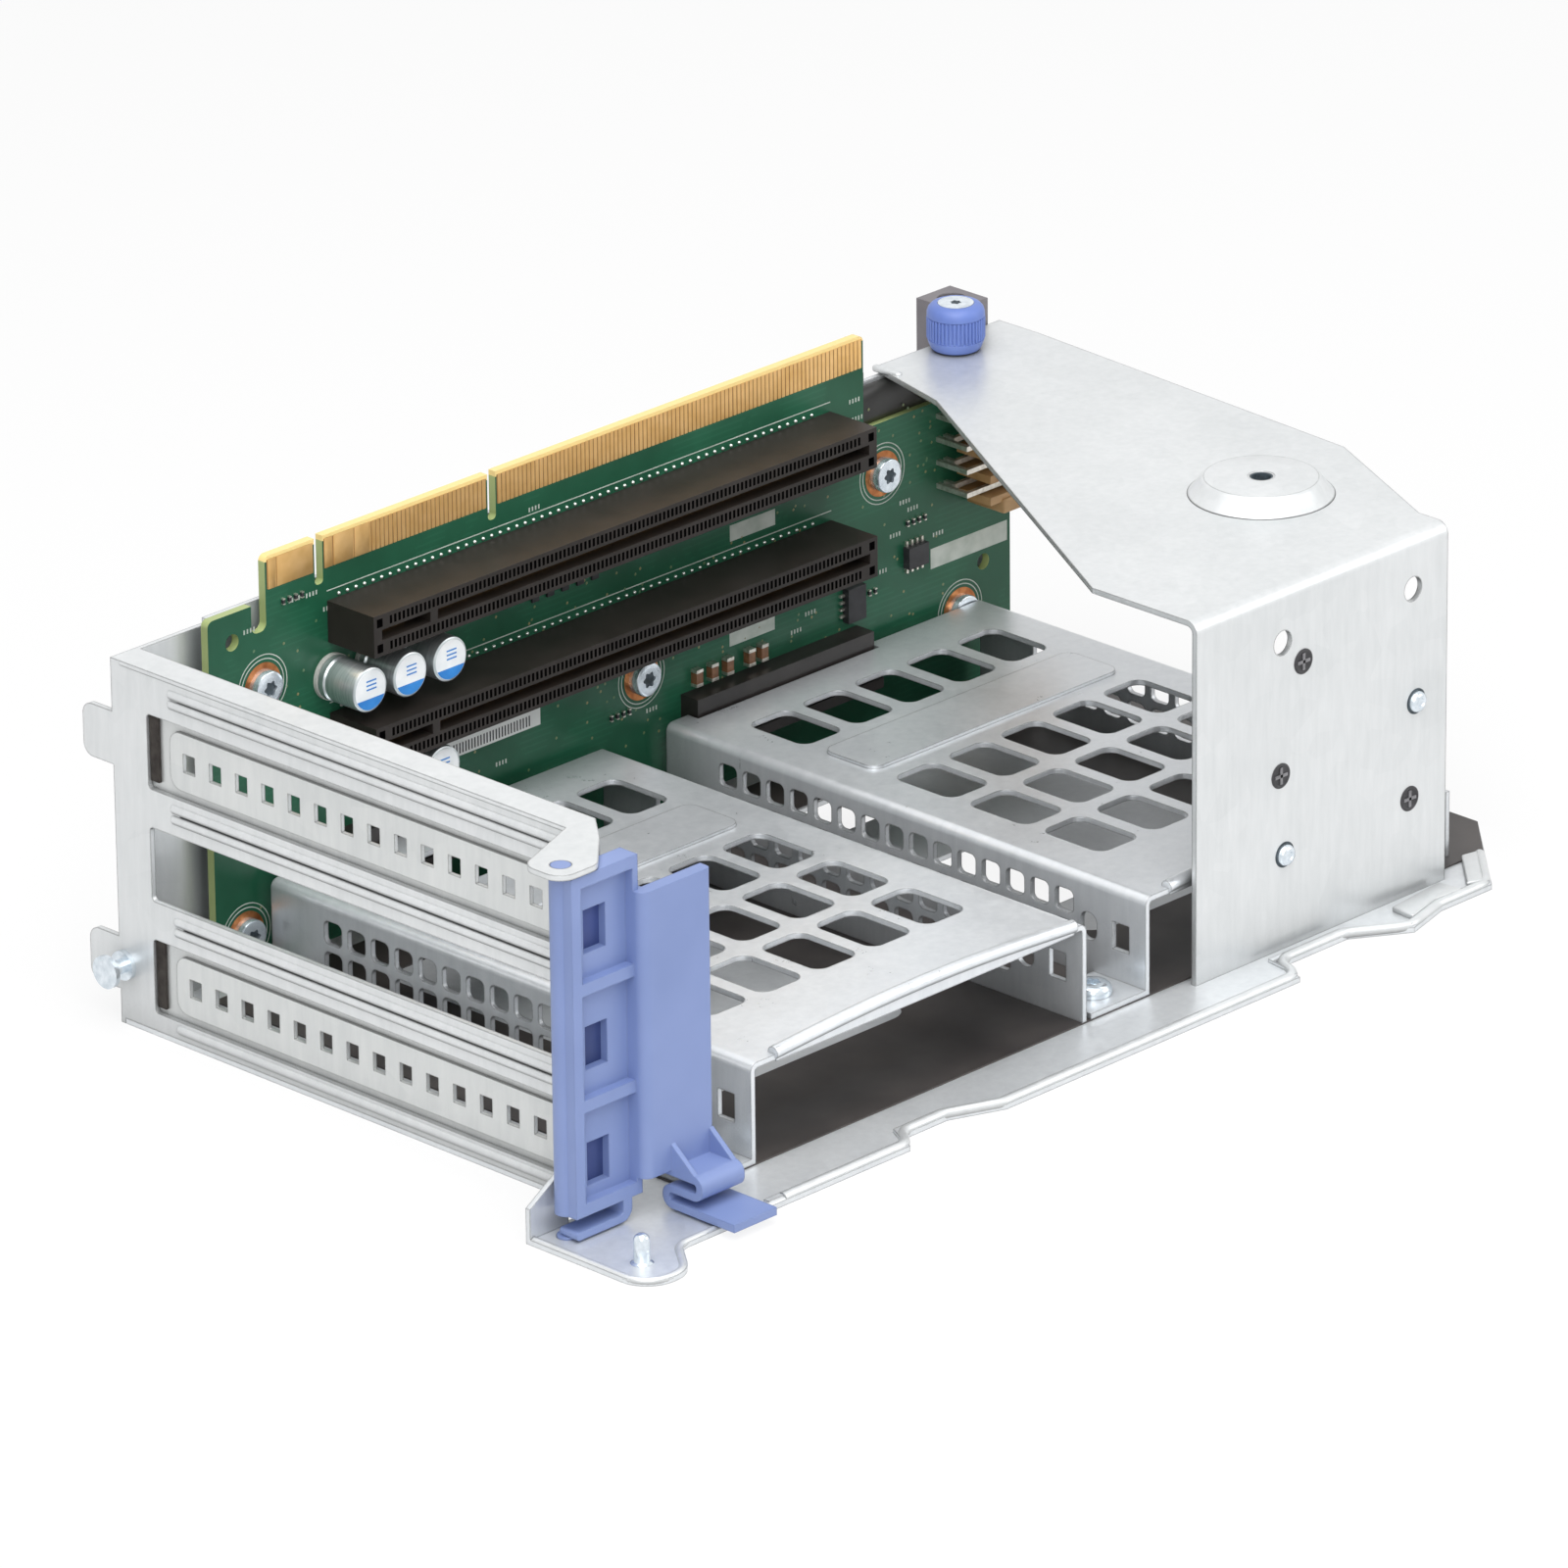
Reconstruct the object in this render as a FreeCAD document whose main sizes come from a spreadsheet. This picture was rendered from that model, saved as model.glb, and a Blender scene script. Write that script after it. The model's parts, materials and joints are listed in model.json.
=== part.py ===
import FreeCAD, Part
import math
import os
import re
import Sketcher

# Riser card cage of a server, lying on its sheet floor with the edge fingers of the board up.
# X runs along the board from the outer face of the slot bracket, Y is 0 at the outer face of the
# bracket's return wall and falls towards the open drive bays, Z is 0 under the floor sheet.

doc = FreeCAD.newDocument("riser_card")
dims = doc.addObject("Spreadsheet::Sheet", "dims")

# Driving dimensions in millimetres: name, size, what it measures
SIZES = (
    ("sheet", 1.0, "galvanised sheet of the cage"),
    ("film", 0.3, "insulating film on the floor"),
    ("film_window_front", 24.4, "film window from the cage mouth"),
    ("film_window_right", 16.4, "film window from the right side of a cage"),
    ("play", 0.3, "clearance between pieces that do not touch"),
    ("standoff", 1.2, "gap between rear wall and board"),
    ("board_gauge", 1.6, "printed board"),
    ("slot_pitch", 20.32, "pitch of the card slots and their openings"),
    ("plate_length", 218.0, "right end of the floor"),
    ("plate_depth", 133.4, "front edge of the floor"),
    ("plate_corner_width", 19.0, "width cut off the right front corner"),
    ("plate_corner_depth", 20.0, "depth cut off the right front corner"),
    ("hem_inset", 0.6, "rolled hem behind the front edge"),
    ("hem_width", 1.2, "width of the hem"),
    ("hem_rise", 0.6, "height of the hem above the floor"),
    ("scallop_first", 52.0, "left end of the shallow recess in the front edge"),
    ("recess_first", 147.0, "left end of the deep recess in the front edge"),
    ("scallop_length", 13.0, "length of the shallow recess"),
    ("scallop_depth", 4.0, "depth of the shallow recess"),
    ("scallop_slope", 10.0, "sloping end of a recess"),
    ("recess_length", 19.0, "length of the deep recess"),
    ("recess_depth", 6.4, "depth of the deep recess"),
    ("recess_end_depth", 2.8, "front edge right of the deep recess"),
    ("lobe_out", 16.5, "corner lobe past the slot bracket"),
    ("lobe_depth", 141.0, "front of the corner lobe"),
    ("lobe_width", 9.5, "nose of the corner lobe"),
    ("lobe_radius", 6.0, "rounding of the corner lobe"),
    ("gusset_low", 5.3, "gusset behind the latch, at the end of the lobe"),
    ("gusset_high", 10.7, "gusset behind the latch, beside the slot bracket"),
    ("floor_window_left", 14.0, "floor openings from the side of the right cage"),
    ("floor_window_width", 16.0, "floor openings along X"),
    ("floor_window_front", 82.0, "front edge of the larger floor opening"),
    ("floor_window_length", 29.0, "larger floor opening along Y"),
    ("floor_slot_front", 33.0, "front edge of the smaller floor opening"),
    ("floor_slot_length", 12.5, "smaller floor opening along Y"),
    ("wall_left", 20.0, "left end of the rear wall"),
    ("wall_right", 214.5, "right end of the rear wall"),
    ("wall_top", 67.5, "top of the rear wall behind the fingers"),
    ("bracket_height", 66.0, "top of the slot bracket"),
    ("bracket_depth", 114.0, "front end of the slot bracket"),
    ("bracket_flange", 6.0, "width of the bracket's top flange"),
    ("return_length", 24.0, "return wall of the slot bracket"),
    ("end_flange", 7.5, "flange that the card tabs rest on"),
    ("opening_inset", 8.5, "back end of the card openings"),
    ("opening_length", 98.5, "length of a card opening"),
    ("opening_height", 13.4, "height of a card opening"),
    ("lowest_opening", 10.9, "centre of the lowest card opening"),
    ("opening_radius", 0.8, "corners of a card opening"),
    ("bead_height", 1.6, "pressed bead between openings"),
    ("bead_depth", 0.5, "depth of a pressed bead"),
    ("bead_inset", 16.0, "back end of the beads"),
    ("bead_length", 88.0, "length of the beads"),
    ("bead_rise", 9.6, "bead above the centre of its opening"),
    ("tab_reach", 7.2, "side tabs past the return wall"),
    ("tab_height", 9.6, "height of a side tab"),
    ("tab_radius", 2.2, "corners of a side tab"),
    ("pivot_out", 11.3, "latch pivot in front of the bracket face"),
    ("pivot_past", 3.5, "latch pivot past the end of the bracket"),
    ("pivot_radius", 1.7, "pivot boss of the latch"),
    ("running_play", 0.08, "radial clearance of a turning fit"),
    ("ear_radius", 4.2, "rounding of the hinge ear"),
    ("cover_gauge", 0.8, "sheet of a slot cover"),
    ("cover_height", 18.4, "width of a slot cover"),
    ("cover_inset", 4.5, "back end of a slot cover"),
    ("cover_tab", 6.5, "bent end of a slot cover"),
    ("cover_tab_height", 11.0, "width of the bent end"),
    ("emboss_height", 10.4, "raised panel of a slot cover"),
    ("emboss_inset", 13.5, "back end of the raised panel"),
    ("emboss_length", 92.0, "length of the raised panel"),
    ("emboss_rise", 0.6, "height of the raised panel"),
    ("emboss_radius", 2.5, "corners of the raised panel"),
    ("vent_inset", 18.1, "first vent hole of a slot cover"),
    ("vent_pitch", 6.28, "pitch of the vent holes"),
    ("vent_width", 2.8, "vent hole along the cover"),
    ("vent_height", 3.3, "vent hole across the cover"),
    ("board_left", 17.7, "left edge of the board"),
    ("board_right", 212.0, "right edge of the board"),
    ("board_bottom", 2.6, "lower edge of the board"),
    ("board_radius", 1.2, "corners of the board"),
    ("shoulder_top", 68.2, "left shoulder of the board"),
    ("step_top", 58.5, "right shoulder of the board"),
    ("finger_top", 76.1, "edge of the finger tongue"),
    ("finger_left", 31.1, "left end of the finger tongue"),
    ("finger_right", 174.9, "right end of the finger tongue"),
    ("finger_height", 6.0, "length of a gold finger"),
    ("finger_width", 0.74, "width of a gold finger"),
    ("finger_pitch", 1.0, "pitch of the gold fingers"),
    ("finger_gauge", 0.08, "gold finger above the board"),
    ("lock_notch", 3.4, "width of the notch beside the tongue"),
    ("lock_notch_depth", 5.2, "depth of that notch"),
    ("key_first", 42.5, "first key cut of the tongue"),
    ("key_second", 83.15, "second key cut of the tongue"),
    ("key_width", 1.9, "width of a key cut"),
    ("key_depth", 8.5, "depth of a key cut"),
    ("guide_hole", 1.5, "radius of the board's guide holes"),
    ("slot_left", 45.2, "left end of the card slots"),
    ("slot_length", 121.4, "length of a card slot"),
    ("slot_height", 7.5, "width of a card slot across the board"),
    ("slot_reach", 11.25, "card slot above the board"),
    ("slot_upper", 60.4, "centre of the upper card slot"),
    ("groove_height", 1.9, "width of the card groove"),
    ("groove_depth", 8.0, "depth of the card groove"),
    ("groove_end", 1.9, "wall at the ends of the groove"),
    ("groove_key", 13.2, "key bridge from the left end"),
    ("groove_key_width", 1.7, "width of the key bridge"),
    ("contact_gauge", 0.25, "contact row on a groove wall"),
    ("can_radius", 4.0, "radius of a can capacitor"),
    ("can_height", 9.6, "capacitor above the board"),
    ("can_left", 45.7, "first can capacitor"),
    ("can_pitch", 9.4, "pitch of the three cans"),
    ("can_level", 50.4, "height of the three cans"),
    ("can_seal", 0.8, "rubber seal under a can"),
    ("chip_gauge", 1.5, "height of a chip package"),
    ("lead_pitch", 1.27, "pitch of the chip leads"),
    ("lead_width", 0.45, "width of a chip lead"),
    ("lead_gauge", 0.5, "height of a chip lead above the board"),
    ("ceramic_pitch", 3.16, "pitch of the ceramic capacitors"),
    ("resistor_pitch", 3.6, "pitch of the chip resistors"),
    ("label_length", 24.0, "paper label on the board"),
    ("label_height", 4.0, "height of that label"),
    ("label_gauge", 0.1, "thickness of that label"),
    ("cage_left", 28.3, "left wall of the first drive cage"),
    ("cage_pitch", 94.5, "pitch of the drive cages"),
    ("cage_width", 80.0, "width of a drive cage"),
    ("cage_top", 19.2, "top of the drive cages"),
    ("cage_back", 7.1, "back edge of the cages"),
    ("cage_length", 113.2, "length of a drive cage"),
    ("cage_radius", 1.6, "outer bend of a cage"),
    ("window_width", 10.0, "cage window along X"),
    ("window_length", 14.2, "cage window along Y"),
    ("window_radius", 2.4, "corners of a cage window"),
    ("window_pitch", 13.0, "pitch of the windows along X"),
    ("window_row_pitch", 17.4, "pitch of the window rows"),
    ("window_first_row", 24.8, "row of windows beside the board"),
    ("window_second_row", 59.8, "first row of the window block"),
    ("pad_start", 36.0, "back edge of the raised pad"),
    ("pad_length", 12.6, "raised pad along Y"),
    ("pad_inset", 9.0, "raised pad from the cage's sides"),
    ("pad_rise", 0.6, "height of the raised pad"),
    ("side_hole_width", 4.2, "hole in a cage side along Y"),
    ("side_hole_height", 4.2, "hole in a cage side along Z"),
    ("side_hole_pitch", 5.68, "pitch of the side holes"),
    ("side_hole_first", 22.1, "first side hole"),
    ("side_hole_level", 7.9, "lower row of side holes"),
    ("side_hole_row", 5.6, "pitch of the two rows"),
    ("side_hole_radius", 1.1, "corners of a side hole"),
    ("catch_inset", 3.8, "square hole in a cage side, from the mouth"),
    ("catch_width", 3.8, "square hole along Y"),
    ("catch_level", 7.8, "lower edge of the square hole"),
    ("catch_height", 5.0, "square hole along Z"),
    ("catch_second", 11.2, "round hole in a cage side, from the mouth"),
    ("catch_radius", 1.8, "corners of the round hole"),
    ("lip_drop", 0.3, "rolled lip below the sheet of the cage mouth"),
    ("lip_rise", 1.2, "rolled lip above the cage top"),
    ("lip_inset", 6.0, "lip from the cage's sides"),
    ("relief_width", 5.8, "stepped corner of the right cage's mouth, along X"),
    ("relief_setback", 2.9, "lower step of that corner, from the mouth"),
    ("relief_length", 5.0, "upper step of that corner, from the mouth"),
    ("relief_drop", 5.8, "depth of the upper step below the cage top"),
    ("foot_width", 13.4, "screw foot beside a cage"),
    ("foot_length", 12.0, "length of a screw foot"),
    ("plug_length", 44.0, "drive connector"),
    ("plug_inset", 6.0, "drive connector from the cage's side"),
    ("plug_reach", 4.2, "drive connector above the board"),
    ("plug_bottom", 12.5, "lower face of the drive connector"),
    ("plug_top", 22.2, "upper face of the drive connector"),
    ("tongue_reach", 6.0, "mating tongue of the drive connector"),
    ("header_left", 204.5, "left face of the power header"),
    ("header_right", 216.0, "open face of the power header"),
    ("header_bottom", 40.5, "lower face of the power header"),
    ("header_top", 58.0, "upper face of the power header"),
    ("header_reach", 9.4, "power header above the board"),
    ("header_wall", 1.2, "walls of the power header"),
    ("header_pin", 0.9, "square pin of the power header"),
    ("header_pin_run", 9.5, "bare run of the pins beside the header"),
    ("screw_head", 3.5, "radius of a board screw's head"),
    ("screw_head_height", 2.0, "height of that head"),
    ("screw_shank", 1.5, "radius of a board screw's shank"),
    ("standoff_radius", 3.0, "radius of a board standoff"),
    ("flange_top", 66.8, "top of the support flange"),
    ("support_depth", 123.3, "front face of the support bracket"),
    ("support_left", 132.0, "left edge of the support face"),
    ("support_right", 195.0, "right edge of the support face"),
    ("flange_left", 183.0, "left end of the flange at the rear wall"),
    ("flange_right", 214.5, "right edge of the flange"),
    ("flange_neck", 19.5, "depth of the narrow neck of the flange"),
    ("flange_neck_left", 178.0, "left edge of the flange at its neck"),
    ("flange_cut_right", 209.5, "right edge of the flange where its corner is cut"),
    ("flange_flare", 99.5, "depth where the flange is full width"),
    ("flange_cut", 86.5, "depth where the right corner is cut"),
    ("bend_radius", 2.2, "outer bend of the support bracket"),
    ("boss_radius", 12.5, "raised boss of the flange"),
    ("boss_crown", 9.9, "flat of the boss"),
    ("boss_rise", 3.1, "height of the boss"),
    ("boss_bore", 2.0, "bore of the boss"),
    ("boss_left", 183.6, "boss along X"),
    ("boss_depth", 90.8, "boss along Y"),
    ("face_hole", 2.2, "radius of the holes in the support face"),
    ("knob_left", 198.9, "thumbscrew along X"),
    ("knob_depth", 4.3, "thumbscrew along Y"),
    ("knob_radius", 5.3, "radius of the thumbscrew knob"),
    ("knob_height", 8.4, "height of the thumbscrew knob"),
    ("knob_screw", 1.9, "radius of the thumbscrew's shank"),
    ("knob_tongue", 14.0, "width of the tongue under the thumbscrew"),
    ("nut_radius", 3.6, "pressed nut of the thumbscrew"),
    ("nut_height", 3.2, "height of that nut"),
    ("guide_left", 203.3, "left face of the guide block"),
    ("guide_gap", 1.3, "guide block from the rear wall"),
    ("guide_width", 8.6, "guide block along X"),
    ("guide_reach", 9.2, "guide block behind the wall"),
    ("guide_top", 71.6, "top of the guide block"),
    ("guide_height", 30.0, "height of the guide block"),
    ("guide_bore", 2.6, "bore of the guide block"),
    ("latch_gap", 0.4, "latch from the hinge ear and from the floor"),
    ("latch_back", 2.2, "latch from the end of the card tabs"),
    ("latch_depth", 4.0, "depth of the latch frame"),
    ("latch_side", 1.2, "latch frame past its pivot"),
    ("latch_frame", 15.0, "width of the latch frame"),
    ("latch_bottom", 5.2, "lower end of the latch frame"),
    ("latch_recess", 1.8, "depth of the recess in the frame"),
    ("latch_border_left", 2.2, "left border of the frame"),
    ("latch_web", 2.4, "web between the frame and the broad plate"),
    ("latch_rib", 2.2, "ribs across the recess"),
    ("latch_window", 5.0, "width of a window in the frame"),
    ("latch_window_inset", 2.1, "window from the left border of the frame"),
    ("latch_window_height", 7.6, "height of a window in the frame"),
    ("latch_plate_width", 14.6, "broad plate of the latch"),
    ("latch_plate_gauge", 2.6, "gauge of the broad plate"),
    ("latch_plate_step", 2.1, "broad plate in front of the frame"),
    ("latch_plate_top", 58.4, "top of the broad plate"),
    ("latch_plate_bottom", 8.2, "bottom of the broad plate"),
    ("spring_width", 9.8, "width of the folded spring"),
    ("spring_gauge", 1.4, "gauge of the folded spring"),
    ("spring_top", 7.3, "underside of the spring's shelf"),
    ("spring_fold", 4.3, "underside of the spring's middle layer"),
    ("spring_reach", 7.0, "shelf of the spring past the plate"),
    ("spring_tab", 14.2, "finger tab of the spring past the plate"),
    ("tab_level", 1.5, "underside of the finger tab"),
    ("fold_radius", 2.0, "outer bend of the spring"),
    ("corner_pin_radius", 1.35, "guide pin in the lobe"),
    ("corner_pin_height", 5.2, "guide pin above the floor"),
    ("corner_pin_out", 10.4, "guide pin past the bracket face"),
    ("corner_pin_depth", 133.6, "guide pin along Y"),
    ("stud_radius", 1.3, "neck of the side stud"),
    ("stud_head", 2.9, "head of the side stud"),
    ("stud_reach", 4.8, "side stud in front of the bracket"),
    ("stud_depth", 1.4, "side stud from the back edge"),
    ("stud_collar", 0.9, "thickness of the stud's head and collar"),
)
for row, (alias, amount, meaning) in enumerate(SIZES, start=1):
    dims.set(f"A{row}", meaning)
    dims.set(f"B{row}", str(amount))
    dims.setAlias(f"B{row}", alias)
doc.recompute()

NODES = []
WORD = re.compile(r"[a-z]\w*")
ALIASES = {alias for alias, amount, meaning in SIZES}


def bound(expression):
    """Point every size name of an expression at its cell."""
    def cell(word):
        if word.group(0) not in ALIASES:
            raise KeyError(word.group(0))
        return "dims." + word.group(0)
    return WORD.sub(cell, str(expression))


def amount_of(expression):
    """The present value of an expression of sizes."""
    return float(dims.evalExpression(bound(expression)))


def node(label, piece):
    """Name a finished piece; the name is also its file."""
    piece.Label = label
    NODES.append(piece)
    return piece


def block(name, x, y, z):
    """A box from pairs of low and high expressions."""
    piece = doc.addObject("Part::Box", name)
    for side, axis, (low, high) in zip(("Length", "Width", "Height"), "xyz", (x, y, z)):
        piece.setExpression(side, bound(f"({high}) - ({low})"))
        piece.setExpression(f"Placement.Base.{axis}", bound(low))
    return piece


TURNS = {
    "x": FreeCAD.Rotation(FreeCAD.Vector(0, 1, 0), 90),
    "y": FreeCAD.Rotation(FreeCAD.Vector(1, 0, 0), -90),
    "z": FreeCAD.Rotation(),
}


def along(piece, axis, centre, low, high):
    """Stand a round piece along an axis, through a centre on the other two axes."""
    piece.Placement.Rotation = TURNS[axis]
    piece.setExpression("Height", bound(f"({high}) - ({low})"))
    others = [letter for letter in "xyz" if letter != axis]
    piece.setExpression(f"Placement.Base.{axis}", bound(low))
    for letter, expression in zip(others, centre):
        piece.setExpression(f"Placement.Base.{letter}", bound(expression))
    return piece


def rod(name, axis, centre, low, high, radius):
    """A cylinder along an axis."""
    piece = doc.addObject("Part::Cylinder", name)
    piece.setExpression("Radius", bound(radius))
    return along(piece, axis, centre, low, high)


def cone(name, axis, centre, low, high, radius_low, radius_high):
    """A cone along an axis."""
    piece = doc.addObject("Part::Cone", name)
    piece.setExpression("Radius1", bound(radius_low))
    piece.setExpression("Radius2", bound(radius_high))
    return along(piece, axis, centre, low, high)


def join(name, *pieces):
    """One solid from pieces that overlap or meet."""
    whole = doc.addObject("Part::MultiFuse", name)
    whole.Shapes = list(pieces)
    whole.Refine = True
    return whole


def group(name, *pieces):
    """Separate solids that share a node."""
    whole = doc.addObject("Part::Compound", name)
    whole.Links = list(pieces)
    return whole


def cut(name, base, *tools):
    """A piece less its tools."""
    piece = doc.addObject("Part::Cut", name)
    piece.Base = base
    piece.Tool = tools[0] if len(tools) == 1 else join(name + "_tools", *tools)
    return piece


def origin_feature(body, role):
    """A plane or axis of a body's own origin."""
    return next(part for part in body.Origin.OriginFeatures if part.Role == role)


def new_sketch(body, name, plane, offset):
    """An empty sketch on one of the body's planes, moved along its normal."""
    sketch = body.newObject("Sketcher::SketchObject", name)
    sketch.AttachmentSupport = [(origin_feature(body, plane), "")]
    sketch.MapMode = "FlatFace"
    sketch.setExpression("AttachmentOffset.Base.z", bound(offset))
    return sketch


def hold(sketch, kind, *where):
    """Add a constraint whose last item is an expression of sizes, and bind it."""
    expression = where[-1]
    index = sketch.addConstraint(Sketcher.Constraint(kind, *where[:-1], amount_of(expression)))
    sketch.setExpression(f"Constraints[{index}]", bound(expression))


def outline(body, name, plane, corners, offset="0"):
    """A closed outline of (x, y) or (x, y, radius) corners, given counter-clockwise."""
    sketch = new_sketch(body, name, plane, offset)
    points = [FreeCAD.Vector(amount_of(item[0]), amount_of(item[1]), 0) for item in corners]
    count = len(points)
    entries = list(points)
    leaves = list(points)
    arcs = {}
    for i, item in enumerate(corners):
        if len(item) == 2:
            continue
        radius = amount_of(item[2])
        back = (points[i - 1] - points[i]).normalize()
        ahead = (points[(i + 1) % count] - points[i]).normalize()
        half = back.getAngle(ahead) / 2
        entries[i] = points[i] + back * (radius / math.tan(half))
        leaves[i] = points[i] + ahead * (radius / math.tan(half))
        centre = points[i] + (back + ahead).normalize() * (radius / math.sin(half))
        left_turn = back.cross(ahead).z < 0
        first, last = (entries[i], leaves[i]) if left_turn else (leaves[i], entries[i])
        start = math.atan2(first.y - centre.y, first.x - centre.x)
        end = math.atan2(last.y - centre.y, last.x - centre.x)
        if end < start:
            end += 2 * math.pi
        circle = Part.Circle(centre, FreeCAD.Vector(0, 0, 1), radius)
        arcs[i] = (Part.ArcOfCircle(circle, start, end), left_turn)
    for i in range(count):
        sketch.addGeometry(Part.LineSegment(leaves[i], entries[(i + 1) % count]), False)
    for i, item in enumerate(corners):
        before = (i - 1) % count
        if i not in arcs:
            sketch.addConstraint(Sketcher.Constraint("Coincident", before, 2, i, 1))
            spot = (i, 1)
        else:
            shape, left_turn = arcs[i]
            arc = sketch.addGeometry(shape, False)
            enter, leave = (1, 2) if left_turn else (2, 1)
            sketch.addConstraint(Sketcher.Constraint("Tangent", before, 2, arc, enter))
            sketch.addConstraint(Sketcher.Constraint("Tangent", arc, leave, i, 1))
            hold(sketch, "Radius", arc, item[2])
            corner = sketch.addGeometry(Part.Point(points[i]), True)
            sketch.addConstraint(Sketcher.Constraint("PointOnObject", corner, 1, before))
            sketch.addConstraint(Sketcher.Constraint("PointOnObject", corner, 1, i))
            spot = (corner, 1)
        hold(sketch, "DistanceX", -1, 1, *spot, item[0])
        hold(sketch, "DistanceY", -1, 1, *spot, item[1])
    return sketch


def oblong(body, name, plane, x, y, radius=None, offset="0"):
    """A rectangular outline from pairs of low and high expressions, with round corners if asked."""
    corners = [(x[0], y[0]), (x[1], y[0]), (x[1], y[1]), (x[0], y[1])]
    if radius:
        corners = [corner + (radius,) for corner in corners]
    return outline(body, name, plane, corners, offset)


def circles(body, name, plane, rounds, offset="0"):
    """Circles given as (x, y, radius)."""
    sketch = new_sketch(body, name, plane, offset)
    for x, y, radius in rounds:
        centre = FreeCAD.Vector(amount_of(x), amount_of(y), 0)
        normal = FreeCAD.Vector(0, 0, 1)
        ring = sketch.addGeometry(Part.Circle(centre, normal, amount_of(radius)), False)
        hold(sketch, "Radius", ring, radius)
        hold(sketch, "DistanceX", -1, 1, ring, 3, x)
        hold(sketch, "DistanceY", -1, 1, ring, 3, y)
    return sketch


def pad(body, sketch, length, reverse=False):
    """Raise a sketch along its normal."""
    feature = body.newObject("PartDesign::Pad", sketch.Name + "_pad")
    feature.Profile = (sketch, [""])
    feature.setExpression("Length", bound(length))
    feature.Reversed = reverse
    body.Tip = feature
    return feature


def pocket(body, sketch, length=None, reverse=False):
    """Cut a sketch against its normal, or right through both ways."""
    feature = body.newObject("PartDesign::Pocket", sketch.Name + "_cut")
    feature.Profile = (sketch, [""])
    if length is None:
        feature.Type = "ThroughAll"
        feature.SideType = "Symmetric"
    else:
        feature.setExpression("Length", bound(length))
        feature.Reversed = reverse
    body.Tip = feature
    return feature


def repeat(body, feature, axis, spacing, count, reverse=False):
    """Copy a feature along one of the body's axes."""
    pattern = body.newObject("PartDesign::LinearPattern", feature.Name + "_row")
    pattern.Originals = [feature]
    pattern.Direction = (origin_feature(body, axis), [""])
    pattern.Mode = "Spacing"
    pattern.Reversed = reverse
    pattern.setExpression("Offset", bound(spacing))
    pattern.Occurrences = count
    body.Tip = pattern
    return pattern


WALL_FACE = "2 * sheet"
BOARD_BACK = "2 * sheet + standoff"
BOARD_FRONT = "2 * sheet + standoff + board_gauge"
FLOOR = "sheet + film"
PIVOT_X = "-pivot_out"
PIVOT_Y = "-(bracket_depth + pivot_past)"

# Floor and rear wall: one folded sheet with a hemmed front edge and a lobe under the latch
floor = doc.addObject("PartDesign::Body", "floor_sheet")
FRONT = "-plate_depth"
RECESS_END = "recess_first + recess_length + scallop_slope"
RIGHT_FRONT = "-(plate_depth - recess_end_depth)"
front_edge = [
    ("scallop_first", FRONT),
    ("scallop_first + scallop_depth / 2", "-(plate_depth - scallop_depth)"),
    ("scallop_first + scallop_length", "-(plate_depth - scallop_depth)"),
    ("scallop_first + scallop_length + scallop_slope", FRONT),
    ("recess_first", FRONT),
    ("recess_first + scallop_depth / 4", "-(plate_depth - recess_depth)"),
    ("recess_first + recess_length", "-(plate_depth - recess_depth)"),
    (RECESS_END, FRONT),
    (f"{RECESS_END} + scallop_slope", RIGHT_FRONT),
    ("plate_length - plate_corner_width", RIGHT_FRONT),
]
NOSE = "-lobe_out + lobe_width"
lobe_edge = [
    ("-lobe_out", f"{PIVOT_Y} + ear_radius"),
    ("-lobe_out", "-lobe_depth", "lobe_radius"),
    (NOSE, "-lobe_depth", "lobe_radius"),
    (f"{NOSE} + lobe_radius", FRONT, "lobe_radius / 2"),
]
floor_edge = [("0", "-sheet"), ("0", f"{PIVOT_Y} + ear_radius")]
floor_edge += lobe_edge + front_edge
floor_edge += [
    ("plate_length", f"{RIGHT_FRONT} + plate_corner_depth"),
    ("plate_length", "-sheet"),
]
pad(floor, outline(floor, "floor_outline", "XY_Plane", floor_edge), "sheet")
hem_line = [(f"{NOSE} + 2 * lobe_radius + latch_plate_width", FRONT)] + front_edge
hem_front = [(x, f"{y} + hem_inset") for x, y in hem_line]
hem_back = [(x, f"{y} + hem_inset + hem_width") for x, y in reversed(hem_line)]
hem = outline(floor, "hem_outline", "XY_Plane", hem_front + hem_back, "sheet")
pad(floor, hem, "hem_rise")
WALL_STEP = "finger_right + bracket_flange / 2"
wall_edge = [
    ("wall_left", "0"),
    ("wall_right", "0"),
    ("wall_right", "flange_top - sheet"),
    (WALL_STEP, "flange_top - sheet"),
    (WALL_STEP, "wall_top"),
    ("wall_left", "wall_top"),
]
pad(floor, outline(floor, "wall_outline", "XZ_Plane", wall_edge, "sheet"), "sheet")
tongue = oblong(
    floor, "screw_tongue", "XY_Plane",
    ("knob_left - knob_tongue / 2", "knob_left + knob_tongue / 2"),
    (f"-({BOARD_FRONT} + knob_radius)", "-sheet"),
    offset="flange_top - 2 * sheet",
)
pad(floor, tongue, "sheet")
gusset_edge = [
    ("-lobe_out", "0"),
    ("-end_flange - play", "0"),
    ("-end_flange - play", "sheet + gusset_high"),
    ("-lobe_out", "sheet + gusset_low"),
]
gusset = outline(floor, "gusset_outline", "XZ_Plane", gusset_edge, f"-({PIVOT_Y} + ear_radius)")
pad(floor, gusset, "sheet")
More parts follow.
